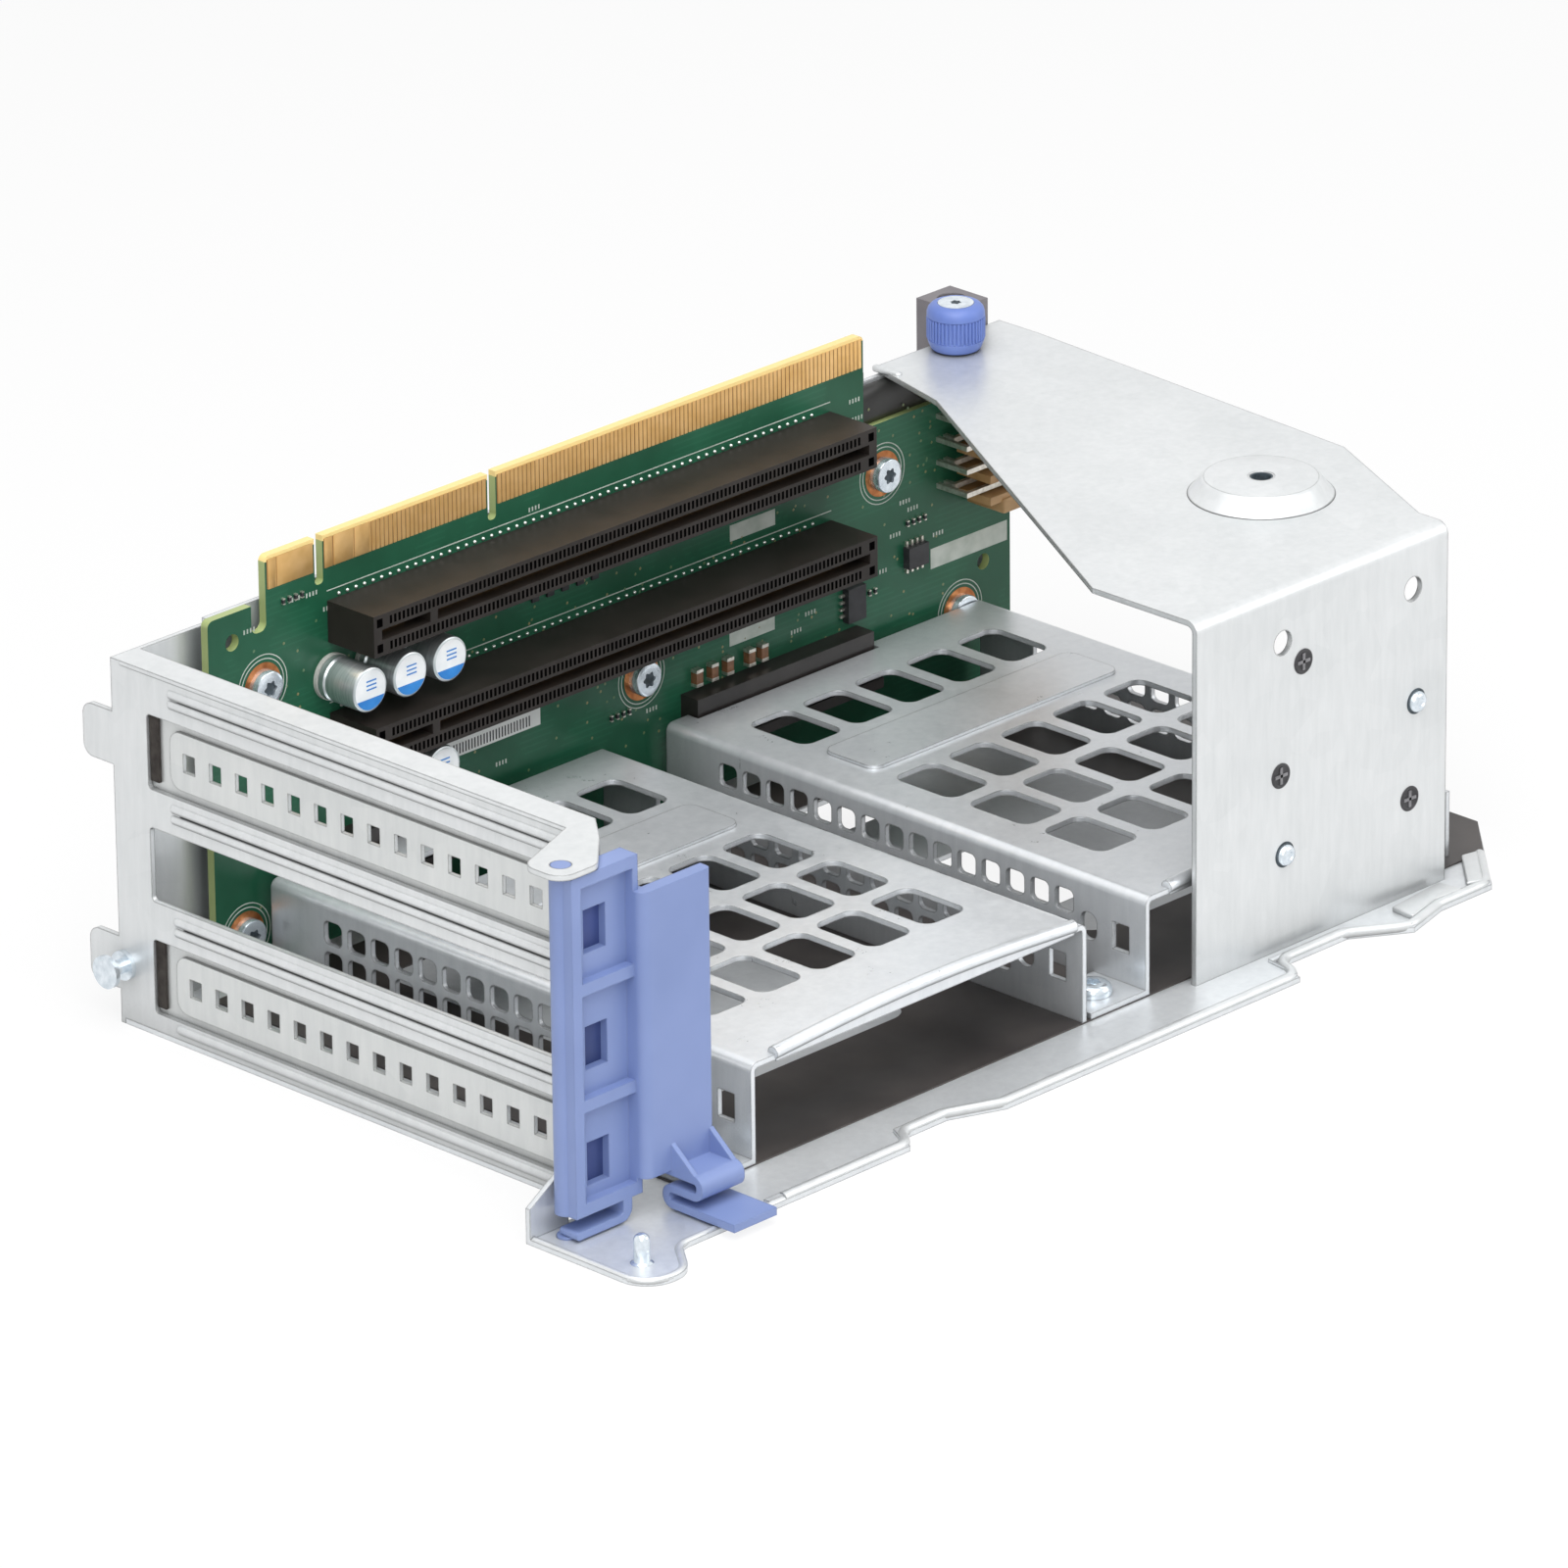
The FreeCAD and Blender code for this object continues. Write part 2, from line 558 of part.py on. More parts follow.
BOARD_SCREWS = (
    ("finger_left - standoff", "slot_upper - slot_height + board_gauge / 5"),
    ("cage_left - screw_head - play", "board_bottom + 2 * screw_head"),
    ("slot_left + slot_length * 0.61", "slot_upper - 1.58 * slot_pitch"),
    ("finger_right + 1.3 * screw_head", "step_top - 2.74 * screw_head"),
    ("board_right - 3.7 * screw_head", "cage_top - screw_head / 2"),
)
SCREW_HOLE = "screw_shank + play / 2"
wall_holes = [(x, z, SCREW_HOLE) for x, z in BOARD_SCREWS]
pocket(floor, circles(floor, "wall_holes", "XZ_Plane", wall_holes, "sheet"), "sheet", True)
nut_window = oblong(
    floor, "nut_window", "XZ_Plane",
    ("knob_left - nut_radius - play", "knob_left + nut_radius + play"),
    ("flange_top - 2 * sheet - nut_height - play", "flange_top - 2 * sheet"), offset="sheet",
)
pocket(floor, nut_window, "sheet", True)
PIVOT_HOLE = "pivot_radius + running_play"
CAGE_SCREWS = [
    (f"cage_left + {steps} * cage_pitch - foot_width / 2", "-(cage_back + cage_length - foot_length / 2)")
    for steps in (0, 1)
]
floor_holes = [
    (PIVOT_X, PIVOT_Y, PIVOT_HOLE),
    ("-corner_pin_out", "-corner_pin_depth", "corner_pin_radius * 0.75"),
]
floor_holes += [(x, y, SCREW_HOLE) for x, y in CAGE_SCREWS]
pocket(floor, circles(floor, "floor_holes", "XY_Plane", floor_holes), "sheet", True)
window_x = "cage_left + cage_pitch + floor_window_left"
for label in ("floor_window", "floor_slot"):
    opening = oblong(
        floor, label + "_outline", "XY_Plane", (window_x, f"{window_x} + floor_window_width"),
        (f"-{label}_front", f"-{label}_front + {label}_length"), "window_radius", "sheet",
    )
    pocket(floor, opening, "sheet")
thumb_hole = [("knob_left", "-knob_depth", "nut_radius - sheet")]
pocket(floor, circles(floor, "thumb_hole", "XY_Plane", thumb_hole, "flange_top - sheet"), "sheet")
node("base_plate", floor)

# Insulating film, cut out under both drive cages
film_edge = [
    ("cage_left - foot_width - play", "-cage_back"),
    ("cage_left - foot_width - play", "-(cage_back + cage_length)"),
    ("plate_length - plate_corner_width / 2", "-(cage_back + cage_length)"),
    ("plate_length - play", "-(cage_back + cage_length - plate_corner_width / 2)"),
    ("plate_length - play", "-cage_back"),
]
film_sheet = doc.addObject("PartDesign::Body", "film_sheet")
pad(film_sheet, outline(film_sheet, "film_outline", "XY_Plane", film_edge, "sheet"), "film")
film_window = oblong(
    film_sheet, "film_window", "XY_Plane",
    ("cage_left + window_pitch", "cage_left + cage_width - film_window_right"),
    ("-(cage_back + cage_length - film_window_front)", "-(cage_back + window_pitch)"),
    "window_radius * 2", FLOOR,
)
repeat(film_sheet, pocket(film_sheet, film_window, "film"), "X_Axis", "cage_pitch", 2)
film_holes = [(x, y, SCREW_HOLE) for x, y in CAGE_SCREWS]
pocket(film_sheet, circles(film_sheet, "film_holes", "XY_Plane", film_holes, FLOOR), "film")
node("insulator_film", film_sheet)

# Slot bracket: face with three card openings, flanges all round and the upper hinge ear
bracket = doc.addObject("PartDesign::Body", "bracket_sheet")
face_edge = [("-bracket_depth", "sheet"), ("0", "sheet")]
for steps in (0, 2):
    low = f"lowest_opening + {steps} * slot_pitch - tab_height / 2"
    high = f"lowest_opening + {steps} * slot_pitch + tab_height / 2"
    face_edge.append(("0", low))
    face_edge.append(("tab_reach", low, "tab_radius"))
    face_edge.append(("tab_reach", high, "tab_radius"))
    face_edge.append(("0", high))
face_edge += [("0", "bracket_height"), ("-bracket_depth", "bracket_height")]
pad(bracket, outline(bracket, "face_outline", "YZ_Plane", face_edge), "sheet")
top_edge = [
    ("0", "0"),
    ("0", f"{PIVOT_Y} + ear_radius + bracket_flange"),
    (f"{PIVOT_X} - ear_radius", f"{PIVOT_Y} + ear_radius", "ear_radius * 0.8"),
    (f"{PIVOT_X} - ear_radius", f"{PIVOT_Y} - ear_radius", "ear_radius * 0.8"),
    (f"{PIVOT_X} + ear_radius", f"{PIVOT_Y} - ear_radius", "ear_radius * 0.8"),
    ("sheet", "-bracket_depth"),
    ("bracket_flange", "-(bracket_depth - bracket_flange)"),
    ("bracket_flange", "0"),
]
top_flange = outline(bracket, "top_outline", "XY_Plane", top_edge, "bracket_height - sheet")
pad(bracket, top_flange, "sheet")
return_wall = oblong(
    bracket, "return_outline", "XZ_Plane", ("0", "return_length"), ("0", "bracket_height"),
)
pad(bracket, return_wall, "sheet")
end_face = oblong(
    bracket, "end_outline", "XZ_Plane",
    ("-end_flange", "sheet"), ("2 * sheet", "bracket_height - sheet - 2 * play"),
    offset="bracket_depth - sheet",
)
pad(bracket, end_face, "sheet")
OPENING_X = ("-(opening_inset + opening_length)", "-opening_inset")
opening = oblong(
    bracket, "opening_outline", "YZ_Plane", OPENING_X,
    ("lowest_opening - opening_height / 2", "lowest_opening + opening_height / 2"),
    "opening_radius", "sheet",
)
repeat(bracket, pocket(bracket, opening, "sheet"), "Z_Axis", "slot_pitch", 3)
bead = oblong(
    bracket, "bead_outline", "YZ_Plane",
    ("-(bead_inset + bead_length)", "-bead_inset"),
    ("lowest_opening + bead_rise", "lowest_opening + bead_rise + bead_height"),
    "bead_height * 0.45",
)
repeat(bracket, pocket(bracket, bead, "bead_depth", True), "Z_Axis", "slot_pitch", 3)
ear_hole = circles(
    bracket, "ear_hole", "XY_Plane", [(PIVOT_X, PIVOT_Y, PIVOT_HOLE)], "bracket_height",
)
pocket(bracket, ear_hole, "sheet")
node("slot_bracket", bracket)


def slot_cover(label, steps):
    """A pressed cover behind one opening: strip, raised panel with vents, bent end tab."""
    level = f"lowest_opening + {steps} * slot_pitch"
    body = doc.addObject("PartDesign::Body", label + "_sheet")
    inner = "sheet + cover_gauge"
    strip = oblong(
        body, label + "_strip", "YZ_Plane",
        ("-(bracket_depth + cover_gauge)", "-cover_inset"),
        (f"{level} - cover_height / 2", f"{level} + cover_height / 2"),
        offset="sheet",
    )
    pad(body, strip, "cover_gauge")
    panel_y = ("-(emboss_inset + emboss_length)", "-emboss_inset")
    panel_z = (f"{level} - emboss_height / 2", f"{level} + emboss_height / 2")
    panel = oblong(
        body, label + "_panel", "YZ_Plane", panel_y, panel_z, "emboss_radius", "sheet",
    )
    pad(body, panel, "emboss_rise", True)
    hollow = oblong(
        body, label + "_hollow", "YZ_Plane",
        (f"{panel_y[0]} + cover_gauge", f"{panel_y[1]} - cover_gauge"),
        (f"{panel_z[0]} + cover_gauge", f"{panel_z[1]} - cover_gauge"),
        "emboss_radius - cover_gauge", inner,
    )
    pocket(body, hollow, "emboss_rise")
    vent = oblong(
        body, label + "_vent", "YZ_Plane",
        ("-vent_inset - vent_width / 2", "-vent_inset + vent_width / 2"),
        (f"{level} - vent_height / 2", f"{level} + vent_height / 2"),
        offset=inner,
    )
    repeat(body, pocket(body, vent, "2 * cover_gauge"), "Y_Axis", "vent_pitch", 14, True)
    tab = oblong(
        body, label + "_tab", "XZ_Plane", ("-cover_tab", inner),
        (f"{level} - cover_tab_height / 2", f"{level} + cover_tab_height / 2"),
        offset="bracket_depth",
    )
    pad(body, tab, "cover_gauge")
    return node(label, body)


slot_cover("slot_cover_lower", 0)
slot_cover("slot_cover_upper", 2)

# Riser board with its finger tongue, lock notch, key cuts and holes
board = doc.addObject("PartDesign::Body", "board_panel")
LOCK_LEFT = "finger_left - lock_notch"
board_edge = [
    ("board_left", "board_bottom", "board_radius"),
    ("board_right", "board_bottom", "board_radius"),
    ("board_right", "step_top", "board_radius"),
    ("finger_right", "step_top"),
    ("finger_right", "finger_top", "board_radius"),
]
for key in ("key_second", "key_first"):
    board_edge.append((f"{key} + key_width", "finger_top"))
    board_edge.append((f"{key} + key_width", "finger_top - key_depth", "key_width * 0.4"))
    board_edge.append((key, "finger_top - key_depth", "key_width * 0.4"))
    board_edge.append((key, "finger_top"))
board_edge += [
    ("finger_left", "finger_top", "board_radius"),
    ("finger_left", "shoulder_top - lock_notch_depth", "lock_notch * 0.4"),
    (LOCK_LEFT, "shoulder_top - lock_notch_depth", "lock_notch * 0.4"),
    (LOCK_LEFT, "shoulder_top"),
    ("board_left", "shoulder_top", "board_radius"),
]
pad(board, outline(board, "board_outline", "XZ_Plane", board_edge, BOARD_BACK), "board_gauge")
board_holes = [(x, z, SCREW_HOLE) for x, z in BOARD_SCREWS]
board_holes.append((f"{LOCK_LEFT} - 3 * guide_hole", "shoulder_top - lock_notch_depth", "guide_hole"))
board_holes.append(("board_right - 4.6 * guide_hole", "cage_top + 3.8 * guide_hole", "guide_hole"))
pocket(board, circles(board, "board_holes", "XZ_Plane", board_holes, BOARD_BACK), "board_gauge", True)
node("riser_board", board)

# Gold fingers: three runs on each side of the tongue
contacts = doc.addObject("PartDesign::Body", "contact_rows")
RUNS = (
    ("finger_left", "key_first"),
    ("key_first + key_width", "key_second"),
    ("key_second + key_width", "finger_right"),
)
for side, offset in (("front", BOARD_FRONT), ("rear", f"{BOARD_BACK} - finger_gauge")):
    for number, (left, right) in enumerate(RUNS):
        count = int(amount_of(f"(({right}) - ({left}) - 0.4 * finger_pitch) / finger_pitch"))
        first = f"(({left}) + ({right})) / 2 - {count - 1} * finger_pitch / 2"
        finger = oblong(
            contacts, f"finger_{side}_{number}", "XZ_Plane",
            (f"{first} - finger_width / 2", f"{first} + finger_width / 2"),
            ("finger_top - finger_height", "finger_top - 0.6 * finger_pitch"),
            offset=offset,
        )
        repeat(contacts, pad(contacts, finger, "finger_gauge"), "X_Axis", "finger_pitch", count)
node("edge_contacts", contacts)


def card_slot(label, level):
    """A long card connector with a keyed groove in its front."""
    body = doc.addObject("PartDesign::Body", label + "_moulding")
    housing = oblong(
        body, label + "_housing", "XZ_Plane",
        ("slot_left", "slot_left + slot_length"),
        (f"{level} - slot_height / 2", f"{level} + slot_height / 2"),
        offset=BOARD_FRONT,
    )
    pad(body, housing, "slot_reach")
    key = "slot_left + groove_key"
    runs = (
        ("slot_left + groove_end", key),
        (f"{key} + groove_key_width", "slot_left + slot_length - groove_end"),
    )
    for number, run in enumerate(runs):
        groove = oblong(
            body, f"{label}_groove_{number}", "XZ_Plane", run,
            (f"{level} - groove_height / 2", f"{level} + groove_height / 2"),
            offset=f"{BOARD_FRONT} + slot_reach",
        )
        pocket(body, groove, "groove_depth")
    node(label, body)
    lips = (("low", "- groove_height / 2"), ("high", "+ groove_height / 2 - contact_gauge"))
    depth = (
        f"-({BOARD_FRONT} + slot_reach - 2 * groove_end)",
        f"-({BOARD_FRONT} + slot_reach - groove_depth)",
    )
    rows = []
    for number, (left, right) in enumerate(runs):
        for side, low in lips:
            height = (f"{level} {low}", f"{level} {low} + contact_gauge")
            length = (f"{left} + play", f"{right} - play")
            rows.append(block(f"{label}_row_{number}_{side}", length, depth, height))
    return rows


slot_rows = card_slot("card_slot_upper", "slot_upper")
slot_rows += card_slot("card_slot_lower", "slot_upper - slot_pitch")
node("card_slot_contacts", group("slot_rows", *slot_rows))


def drive_plug(label, steps):
    """A drive connector on the board whose tongue reaches into its cage."""
    left = f"cage_left + {steps} * cage_pitch + plug_inset"
    right = f"{left} + plug_length"
    front = f"-({BOARD_FRONT} + plug_reach)"
    housing = block(
        label + "_housing", (left, right), (front, f"-({BOARD_FRONT})"), ("plug_bottom", "plug_top"),
    )
    middle = "(plug_bottom + cage_top - sheet) / 2"
    tongue = block(
        label + "_tongue", (f"{left} + 2 * groove_end", f"{right} - 2 * groove_end"),
        (f"{front} - tongue_reach", front),
        (f"{middle} - groove_height / 2", f"{middle} + groove_height / 2"),
    )
    return node(label, join(label + "_moulding", housing, tongue))


drive_plug("drive_connector_left", 0)
drive_plug("drive_connector_right", 1)

# Power header: right-angle pins run from the board into an open box past its right edge
HEADER_FRONT = f"-({BOARD_FRONT} + header_reach)"
header_box = block(
    "header_box", ("header_left", "header_right"), (HEADER_FRONT, f"-({BOARD_FRONT})"),
    ("header_bottom", "header_top"),
)
header_room = block(
    "header_room", ("header_left + header_wall", "header_right"),
    (f"{HEADER_FRONT} + header_wall", f"-({BOARD_FRONT} + header_wall)"),
    ("header_bottom + header_wall", "header_top - header_wall"),
)
header_cuts = [header_room]
header_pins = []
for column in (0, 1):
    for row in range(4):
        name = f"header_{column}_{row}"
        level = f"header_bottom + (header_top - header_bottom) * {2 * row + 1} / 8"
        depth = f"-({BOARD_FRONT} + header_reach * {2 * column + 1} / 4)"
        start = f"header_left - header_pin_run - {column} * 2 * header_pin"
        half = "header_pin / 2"
        high = (f"{level} - {half}", f"{level} + {half}")
        deep = (f"{depth} - {half}", f"{depth} + {half}")
        leg = block(name + "_leg", (start, f"{start} + header_pin"), (deep[0], f"-({BOARD_FRONT})"), high)
        run = block(name + "_run", (start, "header_right - header_wall"), deep, high)
        header_pins.append(join(name + "_pin", leg, run))
        header_cuts.append(block(
            name + "_hole", ("header_left", "header_left + header_wall"),
            (f"{deep[0]} - play / 3", f"{deep[1]} + play / 3"),
            (f"{high[0]} - play / 3", f"{high[1]} + play / 3"),
        ))
node("power_header_housing", cut("header_housing", header_box, *header_cuts))
node("power_header_pins", group("header_pin_set", *header_pins))

# Can capacitors on their seals
CANS = [(f"can_left + {number} * can_pitch", "can_level") for number in range(3)]
CANS.append(("can_left + 1.78 * can_pitch", "can_level - slot_pitch + sheet"))
cans = []
seals = []
for number, place in enumerate(CANS):
    foot = f"-({BOARD_FRONT} + can_seal)"
    top = f"-({BOARD_FRONT} + can_height)"
    cans.append(rod(f"can_{number}", "y", place, top, foot, "can_radius"))
    seals.append(rod(f"seal_{number}", "y", place, foot, f"-({BOARD_FRONT})", "can_radius + play / 2"))
node("capacitor_cans", group("can_set", *cans))
node("capacitor_seals", group("seal_set", *seals))


def chip(name, x, z, width, height, gauge):
    """A small block on the face of the board, given by its middle."""
    return block(
        name, (f"{x} - {width} / 2", f"{x} + {width} / 2"),
        (f"-({BOARD_FRONT} + {gauge})", f"-({BOARD_FRONT})"),
        (f"{z} - {height} / 2", f"{z} + {height} / 2"),
    )


# Two packages with leads, and the small parts beside the drive connector
POWER_X = "finger_right - 3.4"
POWER_Z = "plug_top + 4.8"
LOGIC_X = "finger_right + 12.3"
LOGIC_Z = "plug_top + 9.3"
node("power_chip", chip("power_package", POWER_X, POWER_Z, "4.4", "6.4", "chip_gauge"))
node("logic_chip", chip("logic_package", LOGIC_X, LOGIC_Z, "5", "4", "chip_gauge"))
leads = []
for side in (-1, 1):
    for number in range(4):
        step = f"{number - 1.5} * lead_pitch"
        leads.append(chip(
            f"logic_lead_{side + 1}_{number}", f"{LOGIC_X} + {step}", f"{LOGIC_Z} + {side} * 2.5",
            "lead_width", "1", "lead_gauge",
        ))
        leads.append(chip(
            f"power_lead_{side + 1}_{number}", f"{POWER_X} + {side} * 2.7", f"{POWER_Z} + {step}",
            "1", "lead_width", "lead_gauge",
        ))
node("chip_leads", group("lead_set", *leads))
CERAMIC_X = "slot_left + slot_length * 0.726"
ceramics = []
for number in range(6):
    place = f"{CERAMIC_X} + {number} * ceramic_pitch"
    ceramics.append(chip(f"ceramic_{number}", place, "plug_top + 2.3", "2", "1.25", "0.9"))
node("ceramic_capacitors", group("ceramic_set", *ceramics))
RESISTOR_X = "slot_left + slot_length * 0.4"
RESISTOR_Z = "slot_upper - slot_pitch / 2"
resistors = []
for number in range(5):
    place = f"{RESISTOR_X} + {number} * resistor_pitch"
    resistors.append(chip(f"resistor_{number}", place, RESISTOR_Z, "1.6", "0.8", "lead_width"))
node("chip_resistors", group("resistor_set", *resistors))
LABEL_X = "slot_left + 37.4"
LABEL_Z = "plug_top + 6.7"
node("board_label", chip("label_slip", LABEL_X, LABEL_Z, "label_length", "label_height", "label_gauge"))

# Board screws through board and standoffs into the rear wall
screws = []
standoffs = []
for number, place in enumerate(BOARD_SCREWS):
    head = cone(
        f"board_head_{number}", "y", place, f"-({BOARD_FRONT} + screw_head_height)", f"-({BOARD_FRONT})",
        "screw_head * 0.78", "screw_head",
    )
    shank = rod(f"board_shank_{number}", "y", place, f"-({BOARD_FRONT})", "-sheet", "screw_shank")
    screws.append(join(f"board_screw_{number}", head, shank))
    sleeve = rod(f"sleeve_{number}", "y", place, f"-({BOARD_BACK})", f"-({WALL_FACE})", "standoff_radius")
    bore = rod(f"sleeve_bore_{number}", "y", place, f"-({BOARD_BACK})", f"-({WALL_FACE})", SCREW_HOLE)
    standoffs.append(cut(f"standoff_{number}", sleeve, bore))
node("board_screws", group("board_screw_set", *screws))
node("board_standoffs", group("standoff_set", *standoffs))


def drive_cage(label, steps):
    """A bent cage for one drive: perforated top and sides, lip at the mouth, screw foot.
    The right cage is stepped back beside the support bracket."""
    left = f"cage_left + {steps} * cage_pitch"
    right = f"{left} + cage_width"
    mouth = "-(cage_back + cage_length)"
    body = doc.addObject("PartDesign::Body", label + "_sheet")
    profile = [
        (left, FLOOR),
        (f"{left} + sheet", FLOOR),
        (f"{left} + sheet", "cage_top - sheet", "cage_radius - sheet"),
        (f"{right} - sheet", "cage_top - sheet", "cage_radius - sheet"),
        (f"{right} - sheet", FLOOR),
        (right, FLOOR),
        (right, "cage_top", "cage_radius"),
        (left, "cage_top", "cage_radius"),
    ]
    pad(body, outline(body, label + "_profile", "XZ_Plane", profile, "cage_back"), "cage_length")
    foot = oblong(
        body, label + "_foot", "XY_Plane", (f"{left} - foot_width", f"{left} + sheet / 2"),
        (mouth, f"{mouth} + foot_length"), offset=FLOOR,
    )
    pad(body, foot, "sheet")
    foot_hole = [CAGE_SCREWS[steps] + (SCREW_HOLE,)]
    pocket(body, circles(body, label + "_foot_hole", "XY_Plane", foot_hole, f"{FLOOR} + sheet"), "sheet")
    lip = oblong(
        body, label + "_lip", "XY_Plane", (f"{left} + lip_inset", f"{right} - lip_inset / 2"),
        (mouth, f"{mouth} + sheet"), offset="cage_top - sheet - lip_drop",
    )
    pad(body, lip, "lip_drop + sheet + lip_rise")
    panel_x = (f"{left} + pad_inset", f"{right} - pad_inset")
    panel_y = ("-(pad_start + pad_length)", "-pad_start")
    panel = oblong(body, label + "_panel", "XY_Plane", panel_x, panel_y, "window_radius", "cage_top")
    pad(body, panel, "pad_rise")
    hollow = oblong(
        body, label + "_hollow", "XY_Plane",
        (f"{panel_x[0]} + sheet", f"{panel_x[1]} - sheet"),
        (f"{panel_y[0]} + sheet", f"{panel_y[1]} - sheet"),
        "window_radius - sheet / 2", "cage_top - sheet",
    )
    pocket(body, hollow, "pad_rise", True)
    middle = f"{left} + cage_width / 2 - 2 * window_pitch"
    rows = ["window_first_row"] + [f"window_second_row + {row} * window_row_pitch" for row in range(3)]
    for number, row in enumerate(rows):
        window = oblong(
            body, f"{label}_window_{number}", "XY_Plane",
            (f"{middle} - window_width / 2", f"{middle} + window_width / 2"),
            (f"-({row}) - window_length / 2", f"-({row}) + window_length / 2"),
            "window_radius", "cage_top",
        )
        repeat(body, pocket(body, window, "sheet"), "X_Axis", "window_pitch", 5)
    plug_gap = oblong(
        body, label + "_plug_gap", "XY_Plane",
        (f"{left} + plug_inset - 2 * play", f"{left} + plug_inset + plug_length + 2 * play"),
        (f"-({BOARD_FRONT} + plug_reach + 2 * play)", "-cage_back + play"), offset="cage_top",
    )
    pocket(body, plug_gap, "sheet")
    for number in (0, 1):
        level = f"side_hole_level + {number} * side_hole_row"
        hole = oblong(
            body, f"{label}_side_{number}", "YZ_Plane",
            ("-side_hole_first - side_hole_width / 2", "-side_hole_first + side_hole_width / 2"),
            (f"{level} - side_hole_height / 2", f"{level} + side_hole_height / 2"),
            "side_hole_radius", right,
        )
        repeat(body, pocket(body, hole, "cage_width"), "Y_Axis", "side_hole_pitch", 15, True)
    catch = oblong(
        body, label + "_catch", "YZ_Plane",
        (f"{mouth} + catch_inset", f"{mouth} + catch_inset + catch_width"),
        ("catch_level", "catch_level + catch_height"), offset=right,
    )
    pocket(body, catch, "cage_width")
    eye = oblong(
        body, label + "_eye", "YZ_Plane",
        (f"{mouth} + catch_second", f"{mouth} + catch_second + catch_width"),
        ("catch_level", "catch_level + catch_height"), "catch_radius", right,
    )
    pocket(body, eye, "cage_width")
    if steps:
        relief_x = (f"{right} - relief_width", f"{right} + play")
        lower = oblong(
            body, label + "_lower_step", "XY_Plane", relief_x,
            (f"{mouth} - play", f"{mouth} + relief_setback"), offset="cage_top + lip_rise + play",
        )
        pocket(body, lower, "cage_top + lip_rise")
        upper = oblong(
            body, label + "_upper_step", "XY_Plane", relief_x,
            (f"{mouth} - play", f"{mouth} + relief_length"), offset="cage_top + lip_rise + play",
        )
        pocket(body, upper, "lip_rise + play + relief_drop")
    return node(label, body)


drive_cage("drive_cage_left", 0)
drive_cage("drive_cage_right", 1)
cage_screws = []
for number, place in enumerate(CAGE_SCREWS):
    head = cone(
        f"cage_head_{number}", "z", place, f"{FLOOR} + sheet", f"{FLOOR} + sheet + screw_head_height",
        "screw_head", "screw_head * 0.78",
    )
    shank = rod(f"cage_shank_{number}", "z", place, "play", f"{FLOOR} + sheet", "screw_shank")
    cage_screws.append(join(f"cage_screw_{number}", head, shank))
node("cage_screws", group("cage_screw_set", *cage_screws))

# Support bracket: front face, bend, tapered flange and a raised boss with a bore
support = doc.addObject("PartDesign::Body", "support_sheet")
bend_back = "-(support_depth - 3 * bend_radius)"
bend_edge = [
    ("-support_depth", "sheet"),
    ("-support_depth + sheet", "sheet"),
    ("-support_depth + sheet", "flange_top - sheet", "bend_radius - sheet"),
    (bend_back, "flange_top - sheet"),
    (bend_back, "flange_top"),
    ("-support_depth", "flange_top", "bend_radius"),
]
bend = outline(support, "bend_outline", "YZ_Plane", bend_edge, "support_left")
pad(support, bend, "support_right - support_left")
flange_edge = [
    ("flange_left", "0"),
    ("flange_neck_left", "-flange_neck"),
    ("support_left", "-flange_flare"),
    ("support_left", bend_back),
    ("support_right", bend_back),
    ("flange_cut_right", "-flange_cut"),
    ("flange_right", "-(knob_depth + knob_radius)"),
    ("flange_right", "0"),
]
flange = outline(support, "flange_outline", "XY_Plane", flange_edge, "flange_top - sheet")
pad(support, flange, "sheet")
screw_gap = [("knob_left", "-knob_depth", "knob_screw + 2 * play")]
pocket(support, circles(support, "screw_gap", "XY_Plane", screw_gap, "flange_top"), "sheet")
PUSH_PINS = (
    ("support_left + 26.5", "flange_top - 14.6"),
    ("support_left + 21", "flange_top - 33.8"),
    ("support_left + 53.7", "flange_top - 47.9"),
)
RIVETS = (
    ("support_left + 55.2", "flange_top - 30.4"),
    ("support_left + 22.1", "flange_top - 48.5"),
)
face_holes = [("support_left + 54.2", "flange_top - 9.6", "face_hole")]
face_holes.append(("support_left + 21.4", "flange_top - 9.8", "face_hole"))
face_holes += [(x, z, SCREW_HOLE) for x, z in PUSH_PINS + RIVETS]
pocket(support, circles(support, "face_holes", "XZ_Plane", face_holes, "support_depth"), "sheet")
BOSS = ("boss_left", "-boss_depth")
boss = cone(
    "boss_cone", "z", BOSS, "flange_top - sheet", "flange_top + boss_rise", "boss_radius", "boss_crown",
)
boss_room = cone(
    "boss_room", "z", BOSS, "flange_top - sheet", "flange_top - sheet + boss_rise",
    "boss_radius - sheet", "boss_crown - sheet / 2",
)
boss_bore = rod("boss_hole", "z", BOSS, "flange_top - sheet", "flange_top + boss_rise", "boss_bore")
node("support_bracket", cut("support_piece", join("support_form", support, boss), boss_room, boss_bore))
push_pins = []
for number, place in enumerate(PUSH_PINS):
    head = cone(
        f"push_head_{number}", "y", place, "-(support_depth + sheet)", "-support_depth", "2.3", "2.7",
    )
    shank = rod(
        f"push_shank_{number}", "y", place, "-support_depth", "-(support_depth - 1.4 * sheet)", "screw_shank",
    )
    push_pins.append(join(f"push_pin_{number}", head, shank))
node("push_pins", group("push_pin_set", *push_pins))
rivets = []
for number, place in enumerate(RIVETS):
    head = cone(
        f"rivet_head_{number}", "y", place, "-(support_depth + 1.6 * sheet)", "-support_depth", "1.2", "2.2",
    )
    shank = rod(
        f"rivet_shank_{number}", "y", place,
        "-support_depth", "-(support_depth - 1.2 * sheet)", "screw_shank",
    )
    rivets.append(join(f"rivet_{number}", head, shank))
